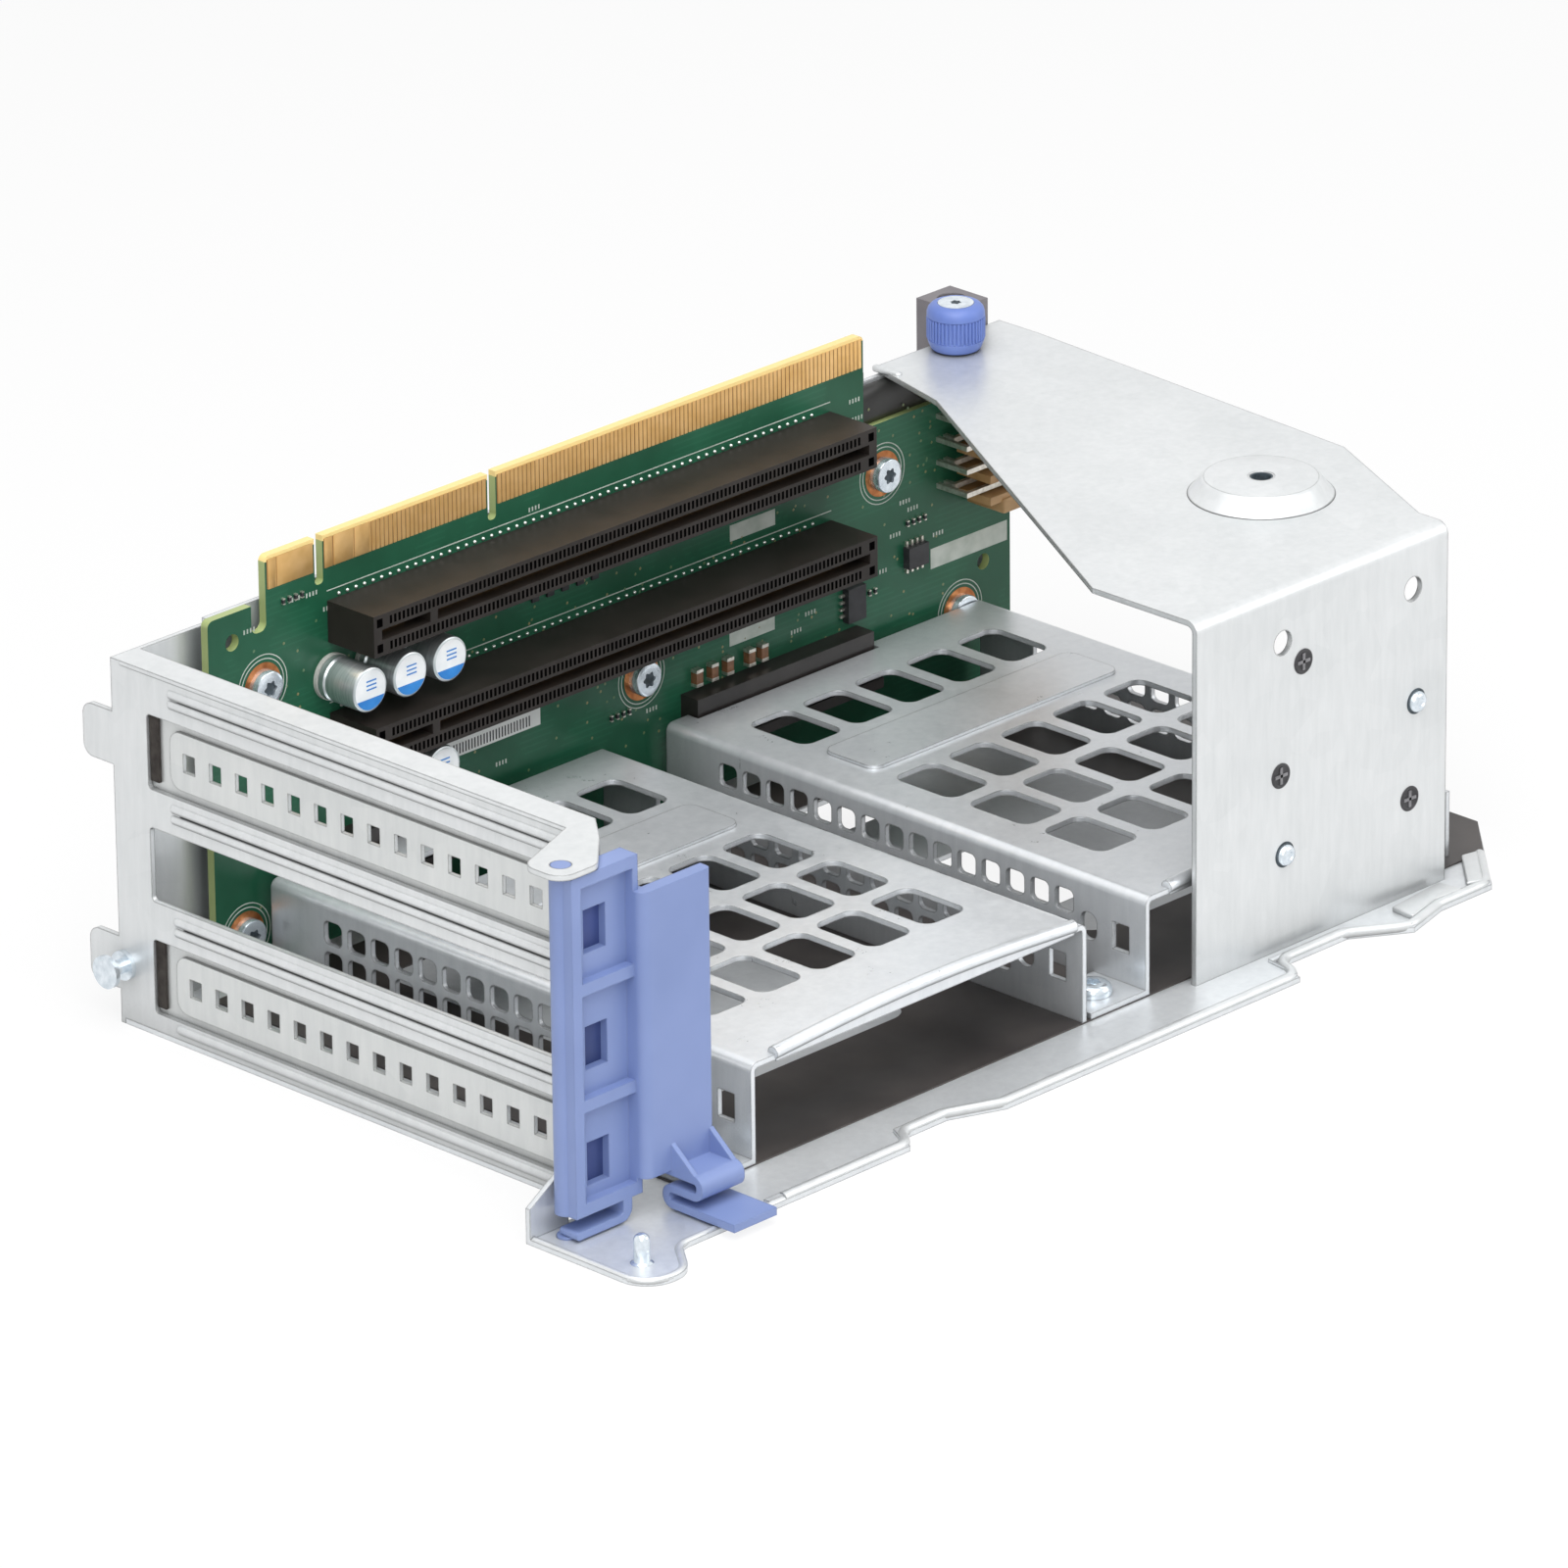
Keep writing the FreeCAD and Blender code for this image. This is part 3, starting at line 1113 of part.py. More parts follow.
node("face_rivets", group("rivet_set", *rivets))

# Thumbscrew: knob moulded on a screw that runs through flange and tongue into a pressed nut
THUMB = ("knob_left", "-knob_depth")
KNOB_TOP = "flange_top + play + knob_height"
knob_body = rod("knob_body", "z", THUMB, "flange_top + play", KNOB_TOP, "knob_radius")
knob_bore = rod("knob_bore", "z", THUMB, "flange_top + play", KNOB_TOP, "knob_screw")
knob_seat = rod("knob_seat", "z", THUMB, f"{KNOB_TOP} - sheet", KNOB_TOP, "knob_radius * 0.6")
node("thumbscrew_knob", cut("knob_piece", knob_body, knob_bore, knob_seat))
NUT_TOP = "flange_top - 2 * sheet"
thumb_shank = rod("thumb_shank", "z", THUMB, f"{NUT_TOP} - nut_height", f"{KNOB_TOP} - sheet", "knob_screw")
thumb_head = rod("thumb_head", "z", THUMB, f"{KNOB_TOP} - sheet", KNOB_TOP, "knob_radius * 0.6")
node("thumbscrew_screw", join("thumb_screw", thumb_shank, thumb_head))
nut_ring = rod("nut_ring", "z", THUMB, f"{NUT_TOP} - nut_height", NUT_TOP, "nut_radius")
nut_bore = rod("nut_bore", "z", THUMB, f"{NUT_TOP} - nut_height", NUT_TOP, "knob_screw + running_play")
node("thumbscrew_nut", cut("nut_piece", nut_ring, nut_bore))

# Guide block on the outside of the rear wall
GUIDE_X = ("guide_left", "guide_left + guide_width")
GUIDE_BACK = "guide_gap - sheet"
GUIDE_BOTTOM = "guide_top - guide_height"
GUIDE_Y = (GUIDE_BACK, f"{GUIDE_BACK} + guide_reach")
guide_box = block("guide_box", GUIDE_X, GUIDE_Y, (GUIDE_BOTTOM, "guide_top"))
guide_neck = block("guide_neck", GUIDE_X, ("-sheet", GUIDE_BACK), (GUIDE_BOTTOM, "flange_top - 3 * sheet"))
guide_bore = rod(
    "guide_hole_cut", "z", ("guide_left + guide_width / 2", f"{GUIDE_BACK} + guide_reach / 2"),
    GUIDE_BOTTOM, "guide_top", "guide_bore",
)
node("guide_block", cut("guide_piece", join("guide_form", guide_box, guide_neck), guide_bore))

# Retention latch: frame on two pivots, broad plate in front, folded spring with a finger tab
LATCH_LEFT = "-(pivot_out + latch_side)"
LATCH_RIGHT = "latch_frame - pivot_out - latch_side"
LATCH_REAR = "-(bracket_depth + cover_gauge + latch_back)"
LATCH_FRONT = "-(bracket_depth + cover_gauge + latch_back + latch_depth)"
LATCH_TOP = "bracket_height - sheet - latch_gap"
WEB_X = (f"{LATCH_RIGHT} - latch_web / 2", f"{LATCH_RIGHT} + latch_web / 2")
RECESS_X = (f"{LATCH_LEFT} + latch_border_left", WEB_X[0])
WINDOW_LEFT = f"{RECESS_X[0]} + latch_window_inset"
FRAME_Y = (LATCH_FRONT, LATCH_REAR)
frame_box = block("frame_box", (LATCH_LEFT, LATCH_RIGHT), FRAME_Y, ("latch_bottom", LATCH_TOP))
PIVOT = (PIVOT_X, PIVOT_Y)
KNUCKLE = "pivot_radius + play"
knuckle = rod("knuckle", "z", PIVOT, "latch_bottom", LATCH_TOP, KNUCKLE)
recess = block(
    "frame_recess", RECESS_X, (LATCH_FRONT, f"{LATCH_FRONT} + latch_recess"),
    ("latch_bottom + latch_rib", f"{LATCH_TOP} - latch_rib"),
)
frame_cuts = [recess]
ribs = []
for steps in range(3):
    level = f"lowest_opening + latch_rib + {steps} * slot_pitch"
    frame_cuts.append(block(
        f"frame_window_{steps}", (WINDOW_LEFT, f"{WINDOW_LEFT} + latch_window"), (LATCH_FRONT, LATCH_REAR),
        (f"{level} - latch_window_height / 2", f"{level} + latch_window_height / 2"),
    ))
    if steps:
        ribs.append(block(
            f"frame_rib_{steps}", RECESS_X, (LATCH_FRONT, f"{LATCH_FRONT} + latch_recess"),
            (f"{level} - slot_pitch / 2", f"{level} - slot_pitch / 2 + latch_rib"),
        ))
frame = cut("latch_frame_piece", join("latch_frame_form", frame_box, knuckle), *frame_cuts)
PLATE_FRONT = f"{LATCH_FRONT} - latch_plate_step"
PLATE_REAR = f"{PLATE_FRONT} + latch_plate_gauge"
PLATE_RIGHT = f"{LATCH_RIGHT} + latch_plate_width"
plate = doc.addObject("PartDesign::Body", "latch_plate")
plate_edge = [
    (WEB_X[0], PLATE_FRONT, "latch_plate_gauge * 0.7"),
    (PLATE_RIGHT, PLATE_FRONT, "latch_plate_gauge * 0.4"),
    (PLATE_RIGHT, PLATE_REAR),
    (WEB_X[1], PLATE_REAR),
    (WEB_X[1], LATCH_REAR),
    (WEB_X[0], LATCH_REAR),
]
pad(
    plate, outline(plate, "plate_outline", "XY_Plane", plate_edge, "latch_plate_bottom"),
    "latch_plate_top - latch_plate_bottom",
)
upper_pivot = rod("upper_pivot", "z", PIVOT, LATCH_TOP, "bracket_height", "pivot_radius")
lower_pivot = rod("lower_pivot", "z", PIVOT, "play", "sheet + latch_gap", "pivot_radius")
foot = doc.addObject("PartDesign::Body", "latch_foot")
FOOT_RIGHT = f"{LATCH_LEFT} + latch_frame - 2 * latch_side"
FOOT_TOP = "sheet + latch_gap + spring_gauge"
foot_edge = [
    (LATCH_LEFT, "sheet + latch_gap", "spring_gauge * 0.4"),
    (FOOT_RIGHT, "sheet + latch_gap", "spring_gauge * 1.6"),
    (FOOT_RIGHT, "latch_bottom + latch_rib / 2"),
    (f"{FOOT_RIGHT} - 1.4 * spring_gauge", "latch_bottom + latch_rib / 2"),
    (f"{FOOT_RIGHT} - 1.4 * spring_gauge", FOOT_TOP, "spring_gauge * 0.6"),
    (LATCH_LEFT, FOOT_TOP, "spring_gauge * 0.4"),
]
pad(
    foot, outline(foot, "foot_outline", "XZ_Plane", foot_edge, "bracket_depth + cover_gauge + latch_back"),
    "latch_depth",
)
spring = doc.addObject("PartDesign::Body", "latch_spring")
SPRING_LEFT = f"{LATCH_RIGHT} + latch_plate_width - spring_width - play"
SPRING_OUT = f"{PLATE_FRONT} - spring_reach"
FOLD_IN = f"{PLATE_FRONT} + latch_plate_gauge * 0.8"
spring_edge = [
    (PLATE_REAR, "spring_top"),
    (PLATE_REAR, "spring_top + spring_gauge"),
    (SPRING_OUT, "spring_top + spring_gauge", "fold_radius"),
    (SPRING_OUT, "spring_fold", "fold_radius"),
    (f"{FOLD_IN} - spring_gauge", "spring_fold", "fold_radius * 0.3"),
    (f"{FOLD_IN} - spring_gauge", "tab_level + spring_gauge", "fold_radius * 0.3"),
    (f"{PLATE_FRONT} - spring_tab", "tab_level + spring_gauge"),
    (f"{PLATE_FRONT} - spring_tab", "tab_level"),
    (FOLD_IN, "tab_level", "fold_radius"),
    (FOLD_IN, "spring_fold + spring_gauge", "fold_radius"),
    (f"{SPRING_OUT} + spring_gauge", "spring_fold + spring_gauge", "fold_radius * 0.3"),
    (f"{SPRING_OUT} + spring_gauge", "spring_top", "fold_radius * 0.3"),
]
pad(spring, outline(spring, "spring_outline", "YZ_Plane", spring_edge, SPRING_LEFT), "spring_width")
for number, start in enumerate((SPRING_LEFT, f"{SPRING_LEFT} + spring_width - sheet")):
    gusset_edge = [
        (f"{SPRING_OUT} + sheet", "spring_top + spring_gauge / 2"),
        (f"{PLATE_FRONT} + sheet", "spring_top + spring_gauge / 2"),
        (f"{PLATE_FRONT} + sheet", "spring_top + 4 * spring_gauge"),
        (f"{PLATE_FRONT}", "spring_top + 4 * spring_gauge"),
    ]
    pad(spring, outline(spring, f"gusset_{number}", "YZ_Plane", gusset_edge, start), "sheet")
node("retention_latch", join("latch_piece", frame, *ribs, plate, upper_pivot, lower_pivot, foot, spring))

# Guide pin in the corner lobe and headed stud on the bracket
PIN = ("-corner_pin_out", "-corner_pin_depth")
PIN_TOP = "sheet + corner_pin_height"
PIN_FOOT = "sheet + play"
pin_shank = rod("pin_shank", "z", PIN, "0", PIN_FOOT, "corner_pin_radius * 0.75")
pin_foot = cone(
    "pin_foot_flare", "z", PIN, "sheet", PIN_FOOT, "corner_pin_radius + 2 * play", "corner_pin_radius",
)
pin_body = rod("pin_body", "z", PIN, PIN_FOOT, f"{PIN_TOP} - corner_pin_radius / 2", "corner_pin_radius")
pin_nose = cone(
    "pin_nose", "z", PIN, f"{PIN_TOP} - corner_pin_radius / 2", PIN_TOP,
    "corner_pin_radius", "corner_pin_radius * 0.6",
)
node("corner_pin", join("pin_piece", pin_shank, pin_foot, pin_body, pin_nose))
STUD = ("-stud_depth", "lowest_opening")
stud_collar = rod("stud_collar_disc", "x", STUD, "-stud_collar", "0", "2 * stud_radius")
stud_neck = rod("stud_neck", "x", STUD, "-(stud_reach - stud_collar)", "-stud_collar", "stud_radius")
stud_cap = rod("stud_cap", "x", STUD, "-stud_reach", "-(stud_reach - stud_collar)", "stud_head")
node("side_stud", join("stud_piece", stud_collar, stud_neck, stud_cap))

doc.recompute()
for item in doc.Objects:
    if "Invalid" in item.State or "Error" in item.State:
        raise RuntimeError(f"{item.Name} did not build: {item.State}")
os.makedirs("parts", exist_ok=True)
for piece in NODES:
    if piece.Shape.isNull() or not piece.Shape.isValid():
        raise RuntimeError(f"{piece.Label} has no valid shape")
    piece.Shape.exportStep(f"parts/{piece.Label}.step")
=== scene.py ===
import json
import math
import bmesh
import bpy
from mathutils import Matrix, Vector


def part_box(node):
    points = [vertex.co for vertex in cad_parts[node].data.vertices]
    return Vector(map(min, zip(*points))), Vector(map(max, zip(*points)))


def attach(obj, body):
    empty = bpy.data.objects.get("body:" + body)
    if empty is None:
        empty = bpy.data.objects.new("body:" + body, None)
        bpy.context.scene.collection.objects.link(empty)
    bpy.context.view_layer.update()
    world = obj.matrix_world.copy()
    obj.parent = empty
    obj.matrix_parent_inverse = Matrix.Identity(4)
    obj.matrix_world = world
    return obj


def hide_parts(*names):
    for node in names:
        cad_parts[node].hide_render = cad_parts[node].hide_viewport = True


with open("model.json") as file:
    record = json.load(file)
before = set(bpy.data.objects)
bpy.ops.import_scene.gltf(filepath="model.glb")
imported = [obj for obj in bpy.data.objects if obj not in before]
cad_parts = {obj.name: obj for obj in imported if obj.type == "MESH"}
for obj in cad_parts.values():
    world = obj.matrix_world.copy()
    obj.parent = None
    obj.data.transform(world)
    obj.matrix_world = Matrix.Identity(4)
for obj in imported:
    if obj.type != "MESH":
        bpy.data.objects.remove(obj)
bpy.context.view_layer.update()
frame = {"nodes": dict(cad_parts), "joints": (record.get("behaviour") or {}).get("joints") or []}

# Floor sheet and rear wall
# One sheet of hot-dip galvanised steel, 1 mm thick, sheared to its scalloped outline and folded up
# behind the board. Its front edge is rolled into a round rim that runs on round the corner lobe.
MM = 0.001


def linear(code):
    """A written sRGB colour as the linear colour that a shader takes."""
    parts = [int(code[i:i + 2], 16) / 255 for i in (1, 3, 5)]
    return [c / 12.92 if c <= 0.04045 else ((c + 0.055) / 1.055) ** 2.4 for c in parts] + [1.0]


def add(tree, kind, inputs=None, **settings):
    """Add a node to a tree: its settings, then its inputs as values or as links from other sockets."""
    made = tree.nodes.new(kind)
    for name, value in settings.items():
        setattr(made, name, value)
    for name, value in (inputs or {}).items():
        if isinstance(value, bpy.types.NodeSocket):
            tree.links.new(value, made.inputs[name])
        else:
            made.inputs[name].default_value = value
    return made


def begin(name, **sockets):
    """Begin a material: its tree, its shader with plain values set, and the piece's own coordinates."""
    made = bpy.data.materials.new(name)
    made.use_nodes = True
    tree = made.node_tree
    tree.nodes.clear()
    shader = add(tree, "ShaderNodeBsdfPrincipled", sockets)
    add(tree, "ShaderNodeOutputMaterial", {"Surface": shader.outputs["BSDF"]})
    place = add(tree, "ShaderNodeTexCoord").outputs["Object"]
    return made, tree, shader, place


def two_tones(tree, factor, low, high, start=0.3, end=0.7):
    """A colour that runs from low to high as the factor goes from start to end."""
    tone = add(tree, "ShaderNodeValToRGB", {"Fac": factor})
    for stop, position, code in zip(tone.color_ramp.elements, (start, end), (low, high)):
        stop.position = position
        stop.color = linear(code)
    return tone.outputs["Color"]


def galvanised(name, pale, dull, smooth, rough, edge, corner_shade_depth=0.6):
    """Zinc coated sheet: faint crystals, fine rolling streaks, painted shade at edges, in corners and
    underneath.
    """
    made, tree, shader, place = begin(name, Metallic=0.55)
    normal = add(tree, "ShaderNodeNewGeometry").outputs["Normal"]
    crystals = add(tree, "ShaderNodeTexVoronoi", {"Vector": place, "Scale": 1 / (5 * MM)})
    along = add(tree, "ShaderNodeMapping", {"Vector": place, "Scale": (1.0, 1.0, 0.14)})
    streaks = add(tree, "ShaderNodeTexNoise", {
        "Vector": along.outputs["Vector"], "Scale": 1 / (1.6 * MM), "Detail": 5.0, "Roughness": 0.6,
    })
    clouds = add(tree, "ShaderNodeTexNoise", {"Vector": place, "Scale": 1 / (24 * MM), "Detail": 2.0})
    shine = add(tree, "ShaderNodeMix", {
        "Factor": 0.82, "A": crystals.outputs["Color"], "B": streaks.outputs["Fac"],
    }, data_type="FLOAT")
    patch = add(tree, "ShaderNodeMix", {
        "Factor": 0.35, "A": shine.outputs["Result"], "B": clouds.outputs["Fac"],
    }, data_type="FLOAT")
    tone = two_tones(tree, patch.outputs["Result"], dull, pale)
    gloss = add(tree, "ShaderNodeMapRange", {
        "Value": patch.outputs["Result"], "From Min": 0.3, "From Max": 0.7, "To Min": smooth, "To Max": rough,
    })
    soft = add(tree, "ShaderNodeBevel", {"Radius": edge * MM}, samples=4).outputs["Normal"]
    grain = add(tree, "ShaderNodeBump", {
        "Strength": 0.15, "Distance": 0.02 * MM, "Height": shine.outputs["Result"], "Normal": soft,
    })
    # Painted shade: the tone darkens along edges and in inner corners, where the bevelled normal turns from
    # the face.
    bend = add(tree, "ShaderNodeVectorMath", {0: soft, 1: normal}, operation="DOT_PRODUCT")
    edge_shade = add(tree, "ShaderNodeMapRange", {
        "Value": bend.outputs["Value"], "From Min": 0.995, "From Max": 0.8, "To Max": 0.8,
    })
    # Painted shade: the tone darkens in corners, recesses and under other parts, as far as occlusion reaches.
    shelter = add(tree, "ShaderNodeAmbientOcclusion", {"Distance": 16 * MM}, samples=4)
    corner_shade = add(tree, "ShaderNodeMapRange", {
        "Value": shelter.outputs["AO"], "From Min": 0.8, "From Max": 0.2, "To Max": corner_shade_depth,
    })
    # Painted shade: faces turned downward darken.
    facing = add(tree, "ShaderNodeSeparateXYZ", {"Vector": normal})
    under = add(tree, "ShaderNodeMapRange", {
        "Value": facing.outputs["Z"], "From Min": -0.05, "From Max": -0.6, "To Max": 0.75,
    })
    darker = add(tree, "ShaderNodeMath", {
        0: edge_shade.outputs["Result"], 1: corner_shade.outputs["Result"],
    }, operation="MAXIMUM")
    darkest = add(tree, "ShaderNodeMath", {
        0: darker.outputs["Value"], 1: under.outputs["Result"],
    }, operation="MAXIMUM")
    # The painted shade blends the tone towards dark grey #535352.
    shaded_tone = add(tree, "ShaderNodeMix", {
        "Factor": darkest.outputs["Value"], "A": tone, "B": linear("#535352"),
    }, data_type="RGBA")
    tree.links.new(shaded_tone.outputs["Result"], shader.inputs["Base Color"])
    tree.links.new(gloss.outputs["Result"], shader.inputs["Roughness"])
    tree.links.new(grain.outputs["Normal"], shader.inputs["Normal"])
    return made


def dress(material, *names):
    """Give CAD nodes a finish."""
    for name in names:
        slots = frame["nodes"][name].data.materials
        slots.clear()
        slots.append(material)


def plan(name, **inputs):
    """Begin a Geometry Nodes tree with named inputs, and give the sockets that they arrive at."""
    tree = bpy.data.node_groups.new(name, "GeometryNodeTree")
    tree.interface.new_socket("Geometry", in_out="INPUT", socket_type="NodeSocketGeometry")
    for word, kind in inputs.items():
        tree.interface.new_socket(word, in_out="INPUT", socket_type="NodeSocket" + kind)
    tree.interface.new_socket("Finish", in_out="INPUT", socket_type="NodeSocketMaterial")
    tree.interface.new_socket("Geometry", in_out="OUTPUT", socket_type="NodeSocketGeometry")
    return tree, tree.nodes.new("NodeGroupInput").outputs


def close(tree, given, geometry):
    """End a tree: real meshes with one finish."""
    real = add(tree, "GeometryNodeRealizeInstances", {"Geometry": geometry})
    painted = add(tree, "GeometryNodeSetMaterial", {
        "Geometry": real.outputs["Geometry"], "Material": given["Finish"],
    })
    add(tree, "NodeGroupOutput", {"Geometry": painted.outputs["Geometry"]})


def grow(name, tree, points, body, slot, path=False, smooth=0.7, **sizes):
    """Run a tree on points or a path in millimetres, keep a plain mesh, and hang it on its body."""
    edges = [(i, i + 1) for i in range(len(points) - 1)] if path else []
    seed = bpy.data.meshes.new(name)
    seed.from_pydata([Vector(point) * MM for point in points], edges, [])
    piece = bpy.data.objects.new(name, seed)
    bpy.context.scene.collection.objects.link(piece)
    run = piece.modifiers.new("build", "NODES")
    run.node_group = tree
    for item in tree.interface.items_tree:
        if item.in_out == "INPUT" and item.name in sizes:
            run[item.identifier] = sizes[item.name]
    ready = piece.evaluated_get(bpy.context.evaluated_depsgraph_get())
    mesh = bpy.data.meshes.new_from_object(ready)
    piece.modifiers.remove(run)
    piece.data = mesh
    if smooth:
        mesh.shade_smooth()
        mesh.set_sharp_from_angle(angle=smooth)
    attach(piece, body)
    return piece


# Skin-passed zinc is cloudy and grey: it takes light from all sides and mirrors nothing sharply.
sheet_steel = galvanised(
    "galvanised_steel_skin_passed", pale="#E1E3E4", dull="#D1D4D5", smooth=0.3, rough=0.42, edge=0.42,
)
# The floor inside the cages gets little painted corner shade, so it stays pale where light falls in through
# their windows.
floor_steel = galvanised(
    "galvanised_steel_faint_shade", pale="#E3E6E8", dull="#D3D6D9", smooth=0.34, rough=0.46, edge=0.42, corner_shade_depth=0.05,
)
dress(floor_steel, "base_plate")

rolled_rim, given = plan("rolled_rim", Radius="Float", Corner="Float")
path = add(rolled_rim, "GeometryNodeMeshToCurve", {"Mesh": given["Geometry"]})
round_path = add(rolled_rim, "GeometryNodeFilletCurve", {
    "Curve": path.outputs["Curve"], "Radius": given["Corner"], "Limit Radius": True, "Count": 8,
}, mode="POLY")
section = add(rolled_rim, "GeometryNodeCurvePrimitiveCircle", {"Resolution": 14, "Radius": given["Radius"]})
tube = add(rolled_rim, "GeometryNodeCurveToMesh", {
    "Curve": round_path.outputs["Curve"], "Profile Curve": section.outputs["Curve"], "Fill Caps": True,
})
close(rolled_rim, given, tube.outputs["Mesh"])
rims = {
    "corner": (0.7, [(-15.8, -114.4), (-15.8, -140.3), (-7.5, -140.3), (-1.6, -132.7), (24.0, -132.7)]),
    "front": (0.95, [
        (23.0, -132.45), (52.4, -132.45), (54.5, -128.45), (64.8, -128.45), (74.8, -132.45), (147.7, -132.45),
        (148.9, -126.05), (165.7, -126.05), (175.8, -132.45), (186.0, -129.65), (198.6, -129.65),
        (207.6, -120.2),
    ]),
}
for name, (radius, line) in rims.items():
    grow(
        f"floor_rim_{name}", rolled_rim, [(x, y, radius) for x, y in line], "cage", "galvanised_steel",
        path=True, Radius=radius * MM, Corner=5 * MM, Finish=sheet_steel,
    )


def plate(name, corners, low, high, radius, material, body):
    """A flat piece over an outline in millimetres, from low to high, with its edges rounded."""
    shape = bmesh.new()
    base = [shape.verts.new((x * MM, y * MM, low * MM)) for x, y in corners]
    lid = [shape.verts.new((x * MM, y * MM, high * MM)) for x, y in corners]
    shape.faces.new(base[::-1])
    shape.faces.new(lid)
    for i in range(len(corners)):
        j = (i + 1) % len(corners)
        shape.faces.new((base[i], base[j], lid[j], lid[i]))
    bmesh.ops.recalc_face_normals(shape, faces=shape.faces[:])
    bmesh.ops.bevel(
        shape, geom=shape.edges[:], offset=radius * MM, offset_type="OFFSET", segments=3, profile=0.5,
        affect="EDGES", clamp_overlap=True,
    )
    mesh = bpy.data.meshes.new(name)
    shape.to_mesh(mesh)
    shape.free()
    mesh.shade_smooth()
    mesh.set_sharp_from_angle(angle=0.9)
    mesh.materials.append(material)
    piece = bpy.data.objects.new(name, mesh)
    bpy.context.scene.collection.objects.link(piece)
    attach(piece, body)
    return piece


hems = {
    "corner": [(203.5, -119.6), (206.9, -120.3), (197.9, -129.6), (195.0, -128.4)],
    "front": [(178.4, -126.0), (178.0, -131.2), (186.2, -129.0), (192.6, -129.4), (192.0, -124.6)],
}
for name, outline in hems.items():
    plate(f"hem_{name}", outline, 0.9, 1.95, 0.3, sheet_steel, "cage")

# Insulating film under the drives
# Dark polycarbonate film, die cut and laid on the floor sheet so that a drive's board can't touch it.


def moulded(name, low, high, patch, roughness, grain, edge, shine=0.5):
    """Plastic: a slow drift of tone over patch mm, moulded grain of that many mm, and softened edges."""
    made, tree, shader, place = begin(name, Roughness=roughness, **{"Specular IOR Level": shine})
    drift = add(tree, "ShaderNodeTexNoise", {"Vector": place, "Scale": 1 / (patch * MM), "Detail": 3.0})
    pores = add(tree, "ShaderNodeTexNoise", {"Vector": place, "Scale": 1 / (grain * MM), "Detail": 2.0})
    soft = add(tree, "ShaderNodeBevel", {"Radius": edge * MM}, samples=4).outputs["Normal"]
    dents = add(tree, "ShaderNodeBump", {
        "Strength": 0.2, "Distance": 0.01 * MM, "Height": pores.outputs["Fac"], "Normal": soft,
    })
    tree.links.new(two_tones(tree, drift.outputs["Fac"], low, high), shader.inputs["Base Color"])
    tree.links.new(dents.outputs["Normal"], shader.inputs["Normal"])
    return made


# A satin film: it takes a soft light along its front edge, and scuffs leave it cloudy.
film = moulded(
    "polycarbonate_film_satin", "#2F2B2A", "#45403E", patch=12, roughness=0.45, grain=0.3, edge=0.2,
)
dress(film, "insulator_film")

# Slot bracket
# Sheet like the floor's, with three card openings, pressed beads along its bars, flanges on every
# side and an ear at the top that holds the latch's pivot.
dress(sheet_steel, "slot_bracket")


def drawn_out(tree, ball, reach):
    """A ball drawn out along a reach: the hull of the ball and of its copy at the far end."""
    far = add(tree, "GeometryNodeTransform", {"Geometry": ball, "Translation": reach})
    ends = add(tree, "GeometryNodeJoinGeometry", {"Geometry": ball})
    tree.links.new(far.outputs["Geometry"], ends.inputs["Geometry"])
    return add(tree, "GeometryNodeConvexHull", {"Geometry": ends.outputs["Geometry"]}).outputs["Convex Hull"]


pressed_bead, given = plan("pressed_bead", Reach="Vector", Radius="Float", Squeeze="Vector")
ball = add(pressed_bead, "GeometryNodeMeshUVSphere", {"Segments": 16, "Rings": 10, "Radius": given["Radius"]})
near = add(pressed_bead, "GeometryNodeTransform", {
    "Geometry": ball.outputs["Mesh"], "Scale": given["Squeeze"],
})
skin = drawn_out(pressed_bead, near.outputs["Geometry"], given["Reach"])
beads = add(pressed_bead, "GeometryNodeInstanceOnPoints", {"Points": given["Geometry"], "Instance": skin})
close(pressed_bead, given, beads.outputs["Instances"])
bar_levels = (2.7, 20.4, 22.3, 40.8, 42.7, 61.4, 63.2)
bar_start = -105.5
grow(
    "bracket_beads", pressed_bead, [(0.1, bar_start, z) for z in bar_levels], "cage", "galvanised_steel",
    Reach=(0, 91 * MM, 0), Radius=0.85 * MM, Squeeze=(0.7, 1.0, 1.0), Finish=sheet_steel,
)
lip_start = (0.75, -110.5, 65.45)
grow(
    "bracket_lip_bead", pressed_bead, [lip_start], "cage", "galvanised_steel",
    Reach=(0, 108 * MM, 0), Radius=0.9 * MM, Squeeze=(1.0, 1.0, 0.6), Finish=sheet_steel,
)

# Slot covers
# Thin pressed blanks of plated steel with a raised panel and one row of square vent holes. A dark strip
# of painted shadow fills the gap at the end of each.
# Pressed and plated steel is a little greyer than the bracket, and sharper at its folds.
cover_steel = galvanised(
    "plated_steel_pressed", pale="#DADCDB", dull="#C9CCCC", smooth=0.28, rough=0.4, edge=0.32,
)
dress(cover_steel, "slot_cover_upper", "slot_cover_lower")
# Painted shadow: a near black strip over the gap at each cover's end, where the shade falls.
gap_shadow = moulded(
    "cover_gap_shadow_black", "#34312F", "#4A4643", patch=2, roughness=0.9, grain=0.4, edge=0.02, shine=0.1,
)
gap_outline = [(0.4, -10.7), (1.2, -10.7), (1.2, -8.7), (0.4, -8.7)]
for name, low, high in (("upper", 46.2, 58.6), ("lower", 5.2, 17.8)):
    plate(f"cover_gasket_{name}", gap_outline, low, high, 0.05, gap_shadow, "cage")

# Riser board
# Glass fibre laminate under green solder mask, 1.6 mm thick, routed to shape. The mask is cut back to
# bare copper round the screws, and its marks are printed in white ink.
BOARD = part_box("riser_board")[0][1] / MM
# A wave texture at scale 1 repeats every 0.314 m, which sets the scale for lines 1.1 mm apart.
WAVE_AT_SCALE_ONE = 0.314
bevel_foot = 75.1
